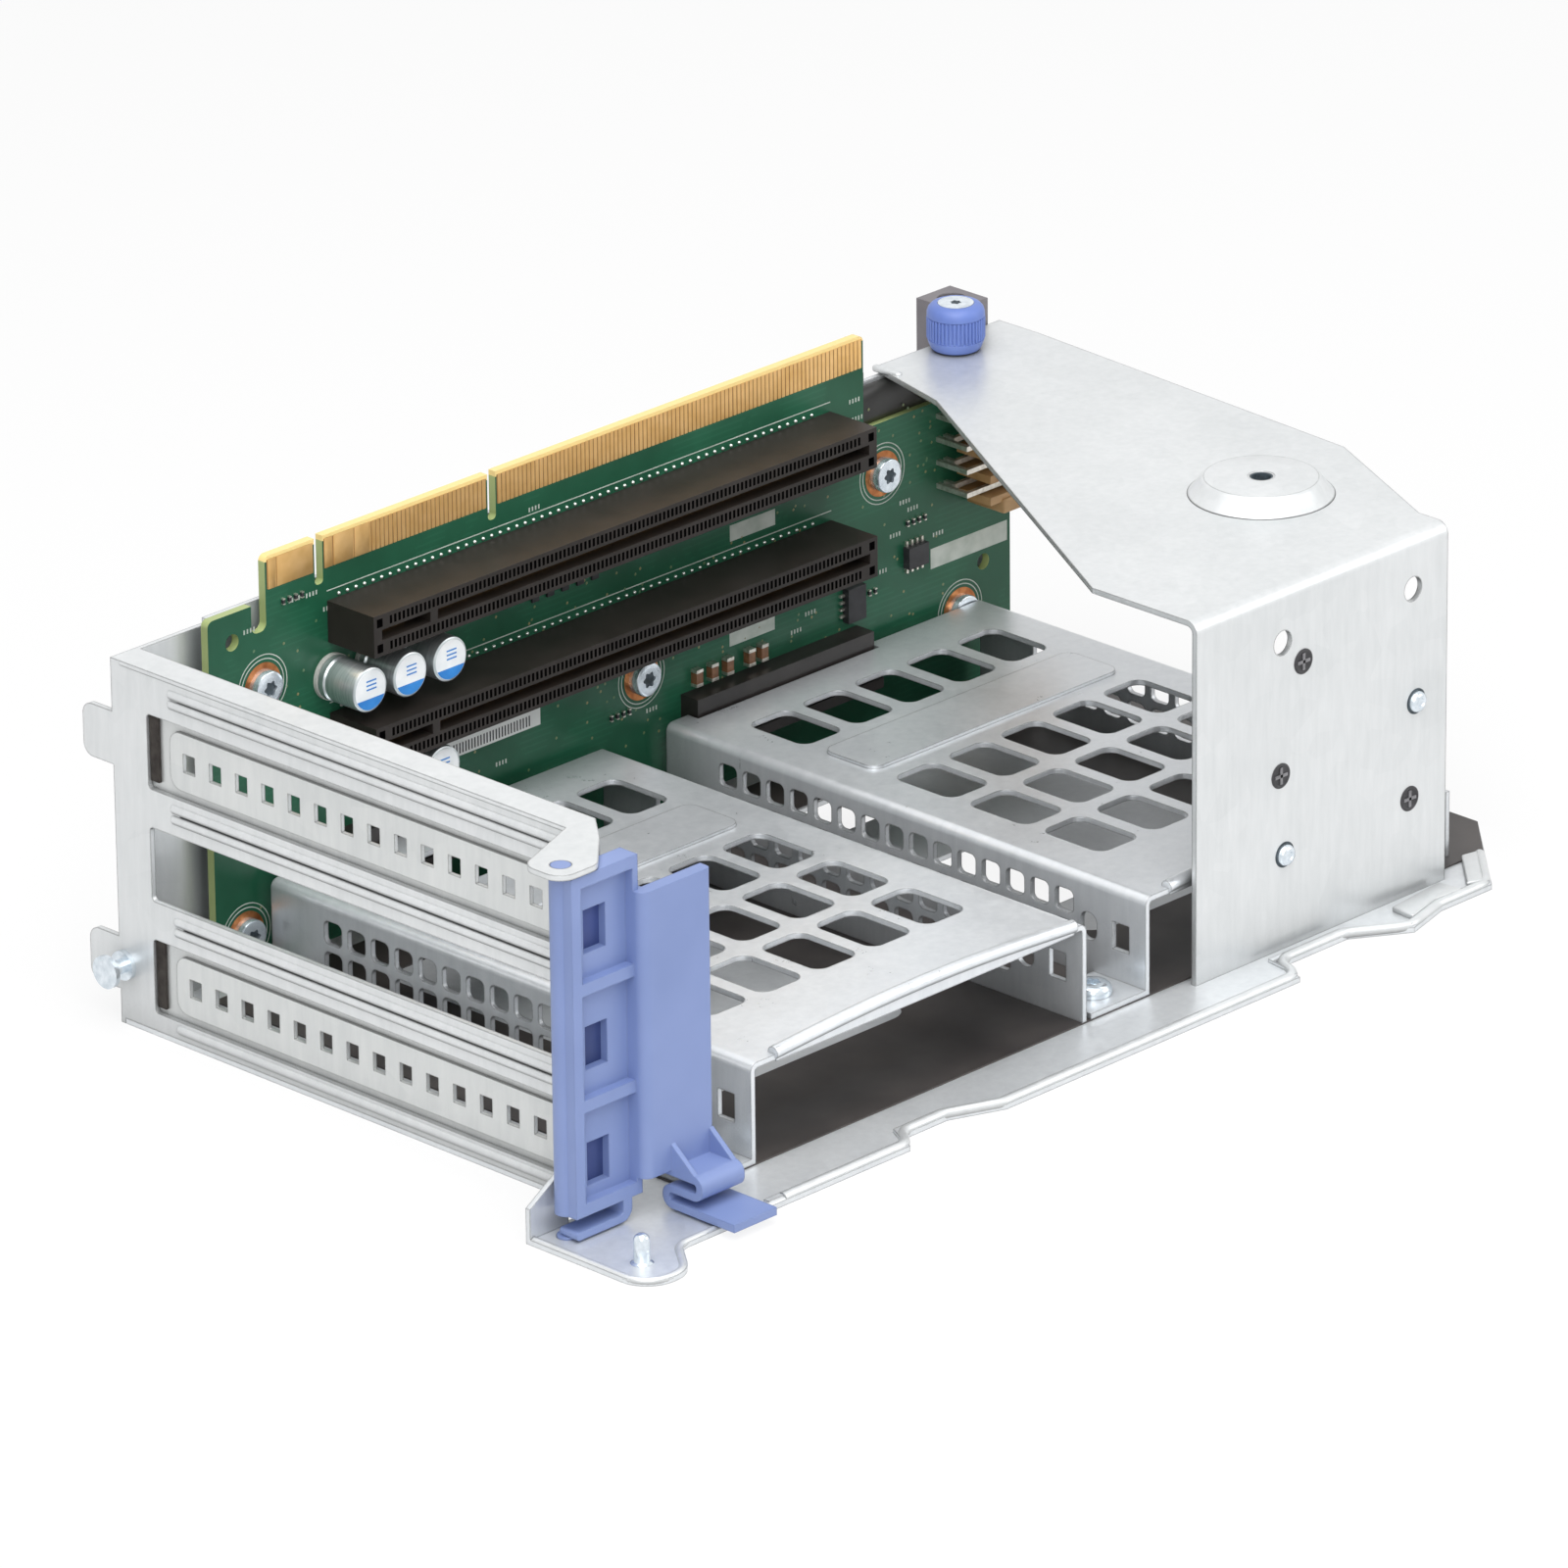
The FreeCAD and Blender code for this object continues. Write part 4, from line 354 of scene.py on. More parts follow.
# Glossy green over copper tracks: long fine lines show through it, and the cut edge is pale resin.
mask, tree, shader, place = begin("solder_mask_green_glossy", Roughness=0.32, **{"Specular IOR Level": 0.3})
ground = add(tree, "ShaderNodeTexNoise", {"Vector": place, "Scale": 1 / (16 * MM), "Detail": 4.0})
lines = add(tree, "ShaderNodeTexWave", {
    "Vector": place, "Scale": WAVE_AT_SCALE_ONE / (1.1 * MM), "Distortion": 1.5, "Detail": 1.0,
    "Detail Scale": 0.05,
}, bands_direction="Z")
routes = add(tree, "ShaderNodeMath", {0: lines.outputs["Fac"], 1: 0.75}, operation="GREATER_THAN")
zones = add(tree, "ShaderNodeMath", {0: ground.outputs["Fac"], 1: 0.52}, operation="GREATER_THAN")
tracks = add(tree, "ShaderNodeMath", {
    0: routes.outputs["Value"], 1: zones.outputs["Value"],
}, operation="MULTIPLY")
faint = add(tree, "ShaderNodeMath", {0: tracks.outputs["Value"], 1: 0.09}, operation="MULTIPLY")
face = two_tones(tree, ground.outputs["Fac"], "#184D36", "#256147")
copper_glow = add(tree, "ShaderNodeMix", {
    "Factor": faint.outputs["Value"], "A": face, "B": linear("#3F8463"),
}, data_type="RGBA")
normal = add(tree, "ShaderNodeNewGeometry").outputs["Normal"]
facing = add(tree, "ShaderNodeSeparateXYZ", {"Vector": normal})
flat = add(tree, "ShaderNodeMath", {0: facing.outputs["Y"]}, operation="ABSOLUTE")
cut = add(tree, "ShaderNodeMath", {0: flat.outputs["Value"], 1: 0.5}, operation="LESS_THAN")
height = add(tree, "ShaderNodeSeparateXYZ", {"Vector": place})
gilded = add(tree, "ShaderNodeMath", {0: height.outputs["Z"], 1: bevel_foot * MM}, operation="GREATER_THAN")
edge_tone = add(tree, "ShaderNodeMix", {
    "Factor": gilded.outputs["Value"], "A": linear("#A3B177"), "B": linear("#F5D992"),
}, data_type="RGBA")
bare = add(tree, "ShaderNodeMath", {0: cut.outputs["Value"], 1: gilded.outputs["Value"]}, operation="MAXIMUM")
surface = add(tree, "ShaderNodeMix", {
    "Factor": bare.outputs["Value"], "A": copper_glow.outputs["Result"], "B": edge_tone.outputs["Result"],
}, data_type="RGBA")
relief = add(tree, "ShaderNodeBump", {
    "Strength": 0.05, "Distance": 0.03 * MM, "Height": tracks.outputs["Value"],
})
tree.links.new(surface.outputs["Result"], shader.inputs["Base Color"])
tree.links.new(relief.outputs["Normal"], shader.inputs["Normal"])
dress(mask, "riser_board")


def metal(name, low, high, patch, metallic, roughness, detail=2.0):
    """Bare or plated metal whose tone drifts over patch mm, as tarnish, frost or wear leave it."""
    made, tree, shader, place = begin(name, Metallic=metallic, Roughness=roughness)
    drift = add(tree, "ShaderNodeTexNoise", {"Vector": place, "Scale": 1 / (patch * MM), "Detail": detail})
    tree.links.new(two_tones(tree, drift.outputs["Fac"], low, high), shader.inputs["Base Color"])
    return made


# White ink is thin: it lets a little of the green through where the screen left it patchy.
ink = moulded("screen_ink_white", "#AEB8AE", "#C9CFC7", patch=3, roughness=0.6, grain=0.4, edge=0.02)
# Bare copper darkens unevenly, and shines only between the marks that the screw head leaves.
copper = metal(
    "copper_bare_tarnished", "#95572F", "#C98754", patch=1.5, metallic=0.8, roughness=0.36, detail=3.0,
)

rings, given = plan("rings_round_screws", Radius="Float", Width="Float", Height="Float")
loop = add(rings, "GeometryNodeCurvePrimitiveCircle", {"Resolution": 40, "Radius": given["Radius"]})
band = add(rings, "GeometryNodeCurvePrimitiveQuadrilateral", {
    "Width": given["Width"], "Height": given["Height"],
})
ring = add(rings, "GeometryNodeCurveToMesh", {
    "Curve": loop.outputs["Curve"], "Profile Curve": band.outputs["Curve"],
})
upright = add(rings, "GeometryNodeTransform", {
    "Geometry": ring.outputs["Mesh"], "Rotation": (math.pi / 2, 0.0, 0.0),
})
placed = add(rings, "GeometryNodeInstanceOnPoints", {
    "Points": given["Geometry"], "Instance": upright.outputs["Geometry"],
})
close(rings, given, placed.outputs["Instances"])
board_screws = [(29.9, 53.2), (24.5, 9.6), (119.25, 28.3), (179.45, 48.9), (199.05, 17.45)]
screw_points = [(x, BOARD, z) for x, z in board_screws]
grow(
    "screw_pads", rings, screw_points, "cage", "gold",
    Radius=3.5 * MM, Width=1.4 * MM, Height=0.1 * MM, Finish=copper,
)
for name, radius in (("inner", 4.85), ("outer", 5.6)):
    grow(
        f"screw_marks_{name}", rings, screw_points, "cage", "label_paper",
        Radius=radius * MM, Width=0.18 * MM, Height=0.08 * MM, Finish=ink,
    )


def in_rows(tree, given, shape):
    """End a tree with rows of one shape: Count of them from each point, a Step apart."""
    line = add(tree, "GeometryNodeMeshLine", {"Count": given["Count"], "Offset": given["Step"]})
    starts = add(tree, "GeometryNodeInstanceOnPoints", {
        "Points": given["Geometry"], "Instance": line.outputs["Mesh"],
    })
    spots = add(tree, "GeometryNodeRealizeInstances", {"Geometry": starts.outputs["Instances"]})
    many = add(tree, "GeometryNodeInstanceOnPoints", {"Points": spots.outputs["Geometry"], "Instance": shape})
    close(tree, given, many.outputs["Instances"])


rows, given = plan("rows_of_blocks", Count="Int", Step="Vector", Size="Vector")
brick = add(rows, "GeometryNodeMeshCube", {"Size": given["Size"]})
in_rows(rows, given, brick.outputs["Mesh"])
ink_blocks = {
    "upper": (147.0, 48.5, 11.2, 3.0), "lower": (146.6, 29.0, 11.2, 3.0), "power": (201.4, 29.2, 19.6, 3.8),
}
for name, (x, z, length, height) in ink_blocks.items():
    grow(
        f"ink_block_{name}", rows, [(x, BOARD, z)], "cage", "label_paper", smooth=0,
        Count=1, Step=(0, 0, 0), Size=(length * MM, 0.08 * MM, height * MM), Finish=ink,
    )
grow(
    "ink_lines", rows, [(105.9, BOARD, 65.9), (105.9, BOARD, 45.6)], "cage", "label_paper", smooth=0,
    Count=1, Step=(0, 0, 0), Size=(121.4 * MM, 0.06 * MM, 0.2 * MM), Finish=ink,
)
tick_places = [
    (36.5, 66.6), (40.5, 66.4), (44.4, 62.8), (93.0, 66.8), (171.5, 64.5), (172.2, 61.0), (184.0, 42.0),
    (186.0, 40.2), (181.5, 36.4), (192.4, 33.6), (178.0, 30.5), (160.0, 28.0), (156.4, 25.6), (120.5, 21.6),
    (84.0, 22.6), (26.0, 64.0),
]
grow(
    "ink_ticks", rows, [(x, BOARD, z) for x, z in tick_places], "cage", "label_paper", smooth=0,
    Count=4, Step=(0.75 * MM, 0, 0), Size=(0.32 * MM, 0.06 * MM, 0.8 * MM), Finish=ink,
)

# Solder joints and plated holes
# Rows of soldered tails stand along the upper edge of each card slot; small plated holes dot the board.
# Fresh solder is bright and round, with a fine frost where it set.
solder = metal("solder_tin_bright", "#C9CDC8", "#F2F3EE", patch=0.4, metallic=0.9, roughness=0.3)
drops, given = plan("rows_of_drops", Count="Int", Step="Vector", Radius="Float")
drop = add(drops, "GeometryNodeMeshIcoSphere", {"Radius": given["Radius"], "Subdivisions": 2})
in_rows(drops, given, drop.outputs["Mesh"])
grow(
    "slot_tails", drops, [(47.9, BOARD, 64.75), (47.9, BOARD, 44.45)], "cage", "contact_metal",
    Count=58, Step=(2 * MM, 0, 0), Radius=0.36 * MM, Finish=solder,
)

scattered, given = plan("scattered_holes", Density="Float", Radius="Float")
spread = add(scattered, "GeometryNodeMeshGrid", {
    "Size X": 168 * MM, "Size Y": 50 * MM, "Vertices X": 2, "Vertices Y": 2,
})
upright = add(scattered, "GeometryNodeTransform", {
    "Geometry": spread.outputs["Mesh"], "Translation": (112 * MM, BOARD * MM, 38 * MM),
    "Rotation": (math.pi / 2, 0.0, 0.0),
})
dots = add(scattered, "GeometryNodeDistributePointsOnFaces", {
    "Mesh": upright.outputs["Geometry"], "Density": given["Density"], "Seed": 7,
})
dot = add(scattered, "GeometryNodeMeshIcoSphere", {"Radius": given["Radius"], "Subdivisions": 1})
flat_dot = add(scattered, "GeometryNodeTransform", {
    "Geometry": dot.outputs["Mesh"], "Scale": (1.0, 0.2, 1.0),
})
holes = add(scattered, "GeometryNodeInstanceOnPoints", {
    "Points": dots.outputs["Points"], "Instance": flat_dot.outputs["Geometry"],
})
close(scattered, given, holes.outputs["Instances"])
# Mask runs thinly over the rims of plated holes, so they show a little paler than the board.
hole_mask = moulded(
    "solder_mask_over_copper", "#4A7654", "#94875C", patch=2, roughness=0.35, grain=0.3, edge=0.02,
)
grow(
    "plated_holes", scattered, [(0, 0, 0)], "cage", "board",
    Density=42000.0, Radius=0.3 * MM, Finish=hole_mask,
)

# Edge fingers
# Hard gold over nickel and copper. The tongue is bevelled at its edge, where the gold runs together
# into one bright line, and the narrow gaps between the fingers show brown resin.
# Hard gold is paler than pure gold, satin, and worn a little unevenly.
gold = metal("hard_gold_plate", "#D9AC6A", "#E8BE80", patch=3, metallic=0.7, roughness=0.36)
dress(gold, "edge_contacts", "card_slot_contacts")
# Bare resin is a dull brown that sets off each finger.
resin = moulded("epoxy_resin_brown", "#8A6436", "#A47A44", patch=2, roughness=0.5, grain=0.3, edge=0.02)


def rounded_strip(name, low, high, radius, material, body):
    """A box between two corners in millimetres with its edges rounded."""
    corners = [(low[0], low[1]), (high[0], low[1]), (high[0], high[1]), (low[0], high[1])]
    return plate(name, corners, low[2], high[2], radius, material, body)


finger_runs = ((31.5, 42.2), (44.7, 82.85), (85.35, 174.5))
wide_pads = ((31.7, 33.4), (33.8, 42.1), (44.8, 46.6), (47.0, 51.4), (51.8, 55.2))
finger_foot, finger_top = [corner[2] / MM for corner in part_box("edge_contacts")]
for number, (left, right) in enumerate(finger_runs):
    rounded_strip(
        f"finger_resin_{number}", (left, BOARD - 0.04, finger_foot + 0.1),
        (right, BOARD + 0.8, finger_top - 0.1), 0.02, resin, "cage",
    )
for number, (left, right) in enumerate(wide_pads):
    rounded_strip(
        f"wide_pad_{number}", (left, BOARD - 0.11, finger_foot),
        (right, BOARD + 0.5, finger_top), 0.02, gold, "cage",
    )

# Card slots
# Long mouldings of black glass filled nylon, soldered to the board. Each lip of the groove has a row of
# narrow contact chambers, with a larger square one at each end.
# Glass fibres near the skin turn black nylon a dull brown black.
slot_nylon = moulded(
    "glass_filled_nylon_brown_black", "#231F1C", "#2E2926",
    patch=8, roughness=0.45, grain=0.25, edge=0.12, shine=0.3,
)
# Open chambers hold no light, so their mouths are the darkest thing on the part.
chamber = moulded(
    "chamber_shadow_black", "#040404", "#0A0909", patch=2, roughness=0.9, grain=0.3, edge=0.02, shine=0.0,
)
dress(slot_nylon, "card_slot_upper", "card_slot_lower")
slot_boxes = [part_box(name) for name in ("card_slot_upper", "card_slot_lower")]
slot_levels = [(low[2] + high[2]) / 2 / MM for low, high in slot_boxes]
lips = [level + side * 2.3 for level in slot_levels for side in (-1, 1)]
chamber_depth = slot_boxes[0][0][1] / MM + 0.3
grow(
    "slot_chambers", rows, [(49.2, chamber_depth, z) for z in lips], "cage", "slot_plastic", smooth=0,
    Count=114, Step=(1 * MM, 0, 0), Size=(0.52 * MM, 0.65 * MM, 1.45 * MM), Finish=chamber,
)
grow(
    "slot_end_chambers", rows, [(46.6, chamber_depth, z) for z in lips], "cage", "slot_plastic", smooth=0,
    Count=2, Step=(118.6 * MM, 0, 0), Size=(1.3 * MM, 0.65 * MM, 1.5 * MM), Finish=chamber,
)

# Drive connectors
# Black mouldings that stand on the board behind each cage, with a tongue that the drive's plug meets.
# This plastic flows well, so its walls are thin and its skin is smooth and evenly black.
plug_plastic = moulded(
    "liquid_crystal_polymer_black", "#211E1D", "#2E2A28", patch=6, roughness=0.45, grain=0.25, edge=0.15,
)
dress(plug_plastic, "drive_connector_left", "drive_connector_right")

# Power header
# A beige nylon shell round two rows of square tinned pins that are bent down into the board.
# Natural nylon yellows with heat, and more in some places than in others.
header_nylon = moulded(
    "nylon_natural_aged", "#9C7443", "#C7A173", patch=6, roughness=0.5, grain=0.25, edge=0.2,
)
dress(header_nylon, "power_header_housing")
grow(
    "header_comb", rows, [(201.2, -9.6, 40.6)], "cage", "header_plastic", smooth=0,
    Count=5, Step=(0, 0, 4.1 * MM), Size=(7.0 * MM, 8.2 * MM, 1.5 * MM), Finish=header_nylon,
)
rounded_strip(
    "header_skirt", (200.6, -14.2, 37.6), (208.0, -5.0, 40.4), 0.4, header_nylon, "cage",
)
# Matt tin is a warm silver whose fine frost blurs what it reflects.
tin = metal("tin_plate_matt", "#BDB9AE", "#E6E2D8", patch=0.8, metallic=0.85, roughness=0.33)
dress(tin, "power_header_pins", "chip_leads")

# Capacitor cans
# Drawn aluminium cans with a rolled groove above the rubber seal. Each round top is printed white, with
# a blue segment on the side of its negative lead.
FORWARD = (math.pi / 2, 0.0, 0.0)


def turned(rings, steps=40, hollow=False):
    """A mesh turned about Z from (radius, height) rings in millimetres; a hollow one has no ends.

    A third number makes a ring six-lobed, with lobes that deep as a share of its radius.
    """
    shape = bmesh.new()
    loops = []
    for radius, height, *lobes in rings:
        loop = []
        for i in range(steps):
            angle = 2 * math.pi * i / steps
            reach = radius * (1 + sum(lobes) * math.cos(6 * angle)) * MM
            loop.append(shape.verts.new((reach * math.cos(angle), reach * math.sin(angle), height * MM)))
        loops.append(loop)
    if not hollow:
        shape.faces.new(loops[0][::-1])
        shape.faces.new(loops[-1])
    for low, high in zip(loops, loops[1:] + (loops[:1] if hollow else [])):
        for i in range(steps):
            j = (i + 1) % steps
            shape.faces.new((low[i], low[j], high[j], high[i]))
    bmesh.ops.recalc_face_normals(shape, faces=shape.faces[:])
    mesh = bpy.data.meshes.new("turned")
    shape.to_mesh(mesh)
    shape.free()
    return mesh


copies, given = plan("copies_on_points", Piece="Object", Turn="Rotation")
model = add(copies, "GeometryNodeObjectInfo", {"Object": given["Piece"]})
laid = add(copies, "GeometryNodeInstanceOnPoints", {
    "Points": given["Geometry"], "Instance": model.outputs["Geometry"], "Rotation": given["Turn"],
})
close(copies, given, laid.outputs["Instances"])


def copy_to(name, mesh, points, turn, body, slot, finish, smooth=0.6):
    """Copies of one mesh at points in millimetres, all turned the same way."""
    pattern = bpy.data.objects.new(name + "_pattern", mesh)
    bpy.context.scene.collection.objects.link(pattern)
    piece = grow(name, copies, points, body, slot, smooth=smooth, Piece=pattern, Turn=turn, Finish=finish)
    bpy.data.objects.remove(pattern)
    return piece


can_places = [(45.7, 50.4), (55.1, 50.4), (64.5, 50.4), (62.4, 31.1)]
cans = [(x, BOARD - 0.8, z) for x, z in can_places]
# Drawn aluminium has fine rings round the can, which spread each highlight into a soft band.
aluminium, tree, shader, place = begin("aluminium_drawn", Metallic=0.85, Roughness=0.34)
drawn = add(tree, "ShaderNodeMapping", {"Vector": place, "Scale": (0.1, 1.0, 0.1)})
bands = add(tree, "ShaderNodeTexNoise", {
    "Vector": drawn.outputs["Vector"], "Scale": 1 / (0.4 * MM), "Detail": 3.0,
})
tree.links.new(two_tones(tree, bands.outputs["Fac"], "#BAC2C4", "#DDE2E3"), shader.inputs["Base Color"])
can_sides = turned([
    (3.7, 0.0), (4.0, 0.15), (4.0, 1.3), (3.72, 1.6), (3.72, 2.0), (4.0, 2.3), (4.0, 8.2), (3.9, 8.55),
    (3.6, 8.72),
])
can_piece = copy_to("capacitor_sides", can_sides, cans, FORWARD, "cage", "can_aluminium", aluminium)
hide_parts("capacitor_cans")
# Inks on the can tops are thin and satin, and cover the metal evenly.
white_ink = moulded("can_ink_white", "#E6EAEC", "#F4F6F7", patch=3, roughness=0.45, grain=0.3, edge=0.02)
blue_ink = moulded("can_ink_blue", "#1D74C4", "#2E8AD8", patch=3, roughness=0.45, grain=0.3, edge=0.02)
can_top = turned([(3.55, 8.68), (3.5, 8.76), (3.3, 8.78)])
copy_to("capacitor_tops", can_top, cans, FORWARD, "cage", "can_aluminium", white_ink)
segment = bmesh.new()
segment_radius = 3.48
arc = [math.radians(205 + 130 * i / 20) for i in range(21)]
base, lid = [
    [
        segment.verts.new((segment_radius * math.cos(a) * MM, segment_radius * math.sin(a) * MM, height * MM))
        for a in arc
    ]
    for height in (8.77, 8.8)
]
segment.faces.new(base[::-1])
segment.faces.new(lid)
for i in range(len(arc)):
    j = (i + 1) % len(arc)
    segment.faces.new((base[i], base[j], lid[j], lid[i]))
segment_mesh = bpy.data.meshes.new("segment")
segment.to_mesh(segment_mesh)
segment.free()
copy_to("capacitor_marks", segment_mesh, cans, FORWARD, "cage", "can_aluminium", blue_ink, smooth=0)
bar_places = [(x + 0.2, BOARD - 9.6, z + 0.2) for x, z in can_places]
grow(
    "capacitor_bars", rows, bar_places, "cage", "can_aluminium", smooth=0,
    Count=3, Step=(0, 0, 0.75 * MM), Size=(2.3 * MM, 0.04 * MM, 0.26 * MM), Finish=blue_ink,
)
# Grey seal rubber is matt and soft at its edges.
rubber = moulded("butyl_rubber_grey", "#A9AAA4", "#C4C5BF", patch=4, roughness=0.6, grain=0.3, edge=0.1)
dress(rubber, "capacitor_seals")

# Chips and small parts
# Black epoxy packages on tinned leads, brown ceramic capacitors with silver end caps, black resistors,
# and a plain paper label.
# Moulding epoxy is a dull charcoal with a fine matt skin.
epoxy = moulded("epoxy_moulding_black", "#232326", "#303033", patch=2, roughness=0.55, grain=0.2, edge=0.1)
dress(epoxy, "power_chip", "logic_chip", "chip_resistors")
# Fired ceramic is a smooth brown that varies from part to part.
fired = moulded("ceramic_fired_brown", "#6E4A30", "#8A6244", patch=1, roughness=0.42, grain=0.2, edge=0.08)
ceramic_places = (132.2, 136.0, 139.8, 145.2, 148.4)
ceramics = grow(
    "ceramic_bodies", rows, [(x, BOARD - 0.7, 24.6) for x in ceramic_places], "cage", "ceramic", smooth=0,
    Count=1, Step=(0, 0, 0), Size=(1.6 * MM, 1.4 * MM, 2.2 * MM), Finish=fired,
)
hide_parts("ceramic_capacitors")
grow(
    "ceramic_ends", rows, [(x, BOARD - 0.72, 23.3) for x in ceramic_places], "cage", "pin_metal", smooth=0,
    Count=2, Step=(0, 0, 2.6 * MM), Size=(1.66 * MM, 1.46 * MM, 0.6 * MM), Finish=tin,
)
tiny_places = [(34.9, 67.1), (185.6, 37.8), (172.9, 27.5), (111.6, 22.9)]
tiny_step = (1.45 * MM, 0, 0)
grow(
    "tiny_bodies", rows, [(x, BOARD - 0.25, z) for x, z in tiny_places], "cage", "chip_plastic", smooth=0,
    Count=4, Step=tiny_step, Size=(0.5 * MM, 0.5 * MM, 0.7 * MM), Finish=epoxy,
)
for name, rise in (("low", -0.45), ("high", 0.45)):
    grow(
        f"tiny_ends_{name}", rows, [(x, BOARD - 0.27, z + rise) for x, z in tiny_places], "cage", "pin_metal",
        smooth=0, Count=4, Step=tiny_step, Size=(0.52 * MM, 0.54 * MM, 0.22 * MM), Finish=tin,
    )
# Label paper is matt and a little uneven, with a row of plain bars along it.
paper = moulded("label_paper_matt", "#D3D5D2", "#E2E3E0", patch=6, roughness=0.75, grain=0.3, edge=0.02)
dress(paper, "board_label")
grow(
    "label_bars", rows, [(x, BOARD - 0.1, 28.3) for x in (72.4, 73.1)], "cage", "label_paper", smooth=0,
    Count=14, Step=(1.45 * MM, 0, 0), Size=(0.3 * MM, 0.04 * MM, 1.9 * MM), Finish=epoxy,
)

# Screws
# Zinc plated pan heads with a six lobed socket. Five hold the board to its standoffs, two the cages.
UPWARD = (0.0, 0.0, 0.0)
LOBE = 0.16
# Bright zinc has a cold blue flash and sharp highlights.
zinc = metal("zinc_plate_bright", "#CBD5DD", "#E6EDF3", patch=1.5, metallic=0.8, roughness=0.2)
socket = [(1.3, 2.02, LOBE), (1.2, 1.1, LOBE), (0.3, 1.0)]
head = turned([
    (1.4, -3.5), (1.5, 0.0), (3.1, 0.05), (3.1, 1.65), (3.0, 1.9), (2.8, 2.0), (2.0, 2.02), *socket,
], 48)
board_heads = copy_to("board_screw_heads", head, screw_points, FORWARD, "cage", "screw_steel", zinc)
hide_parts("board_screws")
# The socket's floor lies in shadow, so it shows as a dark star.
socket_shade = moulded(
    "socket_shadow_grey", "#2B343A", "#46525A", patch=1, roughness=0.6, grain=0.2, edge=0.02,
)
star = turned([(1.19, 1.6, LOBE), (1.19, 1.65, LOBE)], 48)
copy_to("board_screw_sockets", star, screw_points, FORWARD, "cage", "screw_steel", socket_shade)
cage_points = [(21.6, -114.3, 2.3), (116.1, -114.3, 2.3)]
short_head = turned([
    (1.4, -1.9), (1.5, 0.0), (3.4, 0.05), (3.4, 0.8), (3.2, 1.4), (2.7, 1.85), (2.0, 2.0), *socket,
], 48)
cage_heads = copy_to("cage_screw_heads", short_head, cage_points, UPWARD, "cage", "screw_steel", zinc)
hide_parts("cage_screws")
dress(zinc, "board_standoffs", "thumbscrew_nut", "thumbscrew_screw")

# Drive cages
# Lighter galvanised sheet, pierced all over for air and folded into an open box for one drive each. The
# upper edge of each mouth is turned over into a smooth lip.
# Fresh bright zinc: paler than the floor's, with a clearer shine.
cage_steel = galvanised(
    "galvanised_steel_bright", pale="#EDF0F3", dull="#DBDFE3", smooth=0.26, rough=0.38, edge=0.42,
)
dress(cage_steel, "drive_cage_left", "drive_cage_right")
lip_level = 19.3
lip_rise = 1.5
lip_steps = 12
for name, reach in (("left", 71.6), ("right", 67.8)):
    low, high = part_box(f"drive_cage_{name}")
    start = high[0] / MM - 74.3
    mouth = low[1] / MM + 0.5
    shares = [i / lip_steps for i in range(lip_steps + 1)]
    arch = [(start + reach * t, mouth, lip_level + lip_rise * math.sin(math.pi * t)) for t in shares]
    grow(
        f"cage_lip_{name}", rolled_rim, arch, "cage", "cage_steel",
        path=True, Radius=1.15 * MM, Corner=2 * MM, Finish=cage_steel,
    )

# Support bracket
# Sheet like the floor's, folded to a wide flange with a drawn boss. Plastic push pins and steel studs are
# fixed in its face.
dress(sheet_steel, "support_bracket")
support_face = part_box("support_bracket")[0][1] / MM
# Dark nylon pins have a cross slot that catches the light on its ribs.
pin_nylon = moulded("nylon_dark_grey", "#29292B", "#3A393C", patch=1, roughness=0.5, grain=0.2, edge=0.1)
pin_places = [(158.5, 52.2), (153.0, 33.0), (185.7, 18.9)]
pin_points = [(x, support_face, z) for x, z in pin_places]
pin_head = turned([(1.9, -1.2), (2.25, 0.0), (2.25, 0.12), (1.9, 0.25), (1.6, 0.08)], 32)
pins = copy_to("push_pin_heads", pin_head, pin_points, FORWARD, "cage", "screw_steel", pin_nylon)
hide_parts("push_pins")
# The ribs catch more light than the dark head round them, so they are a paler grey.
rib_nylon = moulded("nylon_mid_grey", "#6E6D70", "#848386", patch=1, roughness=0.5, grain=0.2, edge=0.1)
rib_points = [(x, support_face - 0.12, z) for x, z in pin_places]
for name, size in (("upright", (0.55, 0.3, 3.0)), ("level", (3.0, 0.3, 0.55))):
    grow(
        f"push_pin_ribs_{name}", rows, rib_points, "cage", "screw_steel", smooth=0,
        Count=1, Step=(0, 0, 0), Size=[edge * MM for edge in size], Finish=rib_nylon,
    )
stud_points = [(x, support_face, z) for x, z in ((187.2, 36.4), (154.1, 18.3))]
# Painted shade: a dark ring round the foot of each stud draws the shadowed gap at its edge.
stud_shadow_ring = turned([(1.4, -0.1), (2.3, -0.1), (2.3, 0.06), (1.4, 0.06)], 32, hollow=True)
copy_to("stud_washers", stud_shadow_ring, stud_points, FORWARD, "cage", "screw_steel", socket_shade)
boss_x = 183.6
boss_y = -90.8
boss = turned([
    (12.3, 0.0), (12.75, 0.02), (12.3, 0.3), (10.5, 2.6), (10.1, 3.0), (9.5, 3.16), (2.3, 3.16), (2.2, 2.9),
    (9.4, 2.9),
], 64, hollow=True)
copy_to("boss_skin", boss, [(boss_x, boss_y, 66.8)], UPWARD, "cage", "galvanised_steel", sheet_steel)
# Painted shade: a dark tube lines the boss's bore, so the hole reads as deep and shaded.
bore_shadow = turned([(1.7, 0.0), (2.03, 0.0), (2.03, 2.9), (1.7, 2.9)], 32, hollow=True)
copy_to("boss_bush", bore_shadow, [(boss_x, boss_y, 66.9)], UPWARD, "cage", "screw_steel", socket_shade)
stud = turned([
    (1.5, -1.2), (1.85, 0.0), (1.85, 0.5), (1.65, 0.95), (1.25, 1.2), (0.8, 1.25), (0.65, 1.05),
], 32)
studs = copy_to("face_studs", stud, stud_points, FORWARD, "cage", "screw_steel", zinc)
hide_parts("face_rivets")
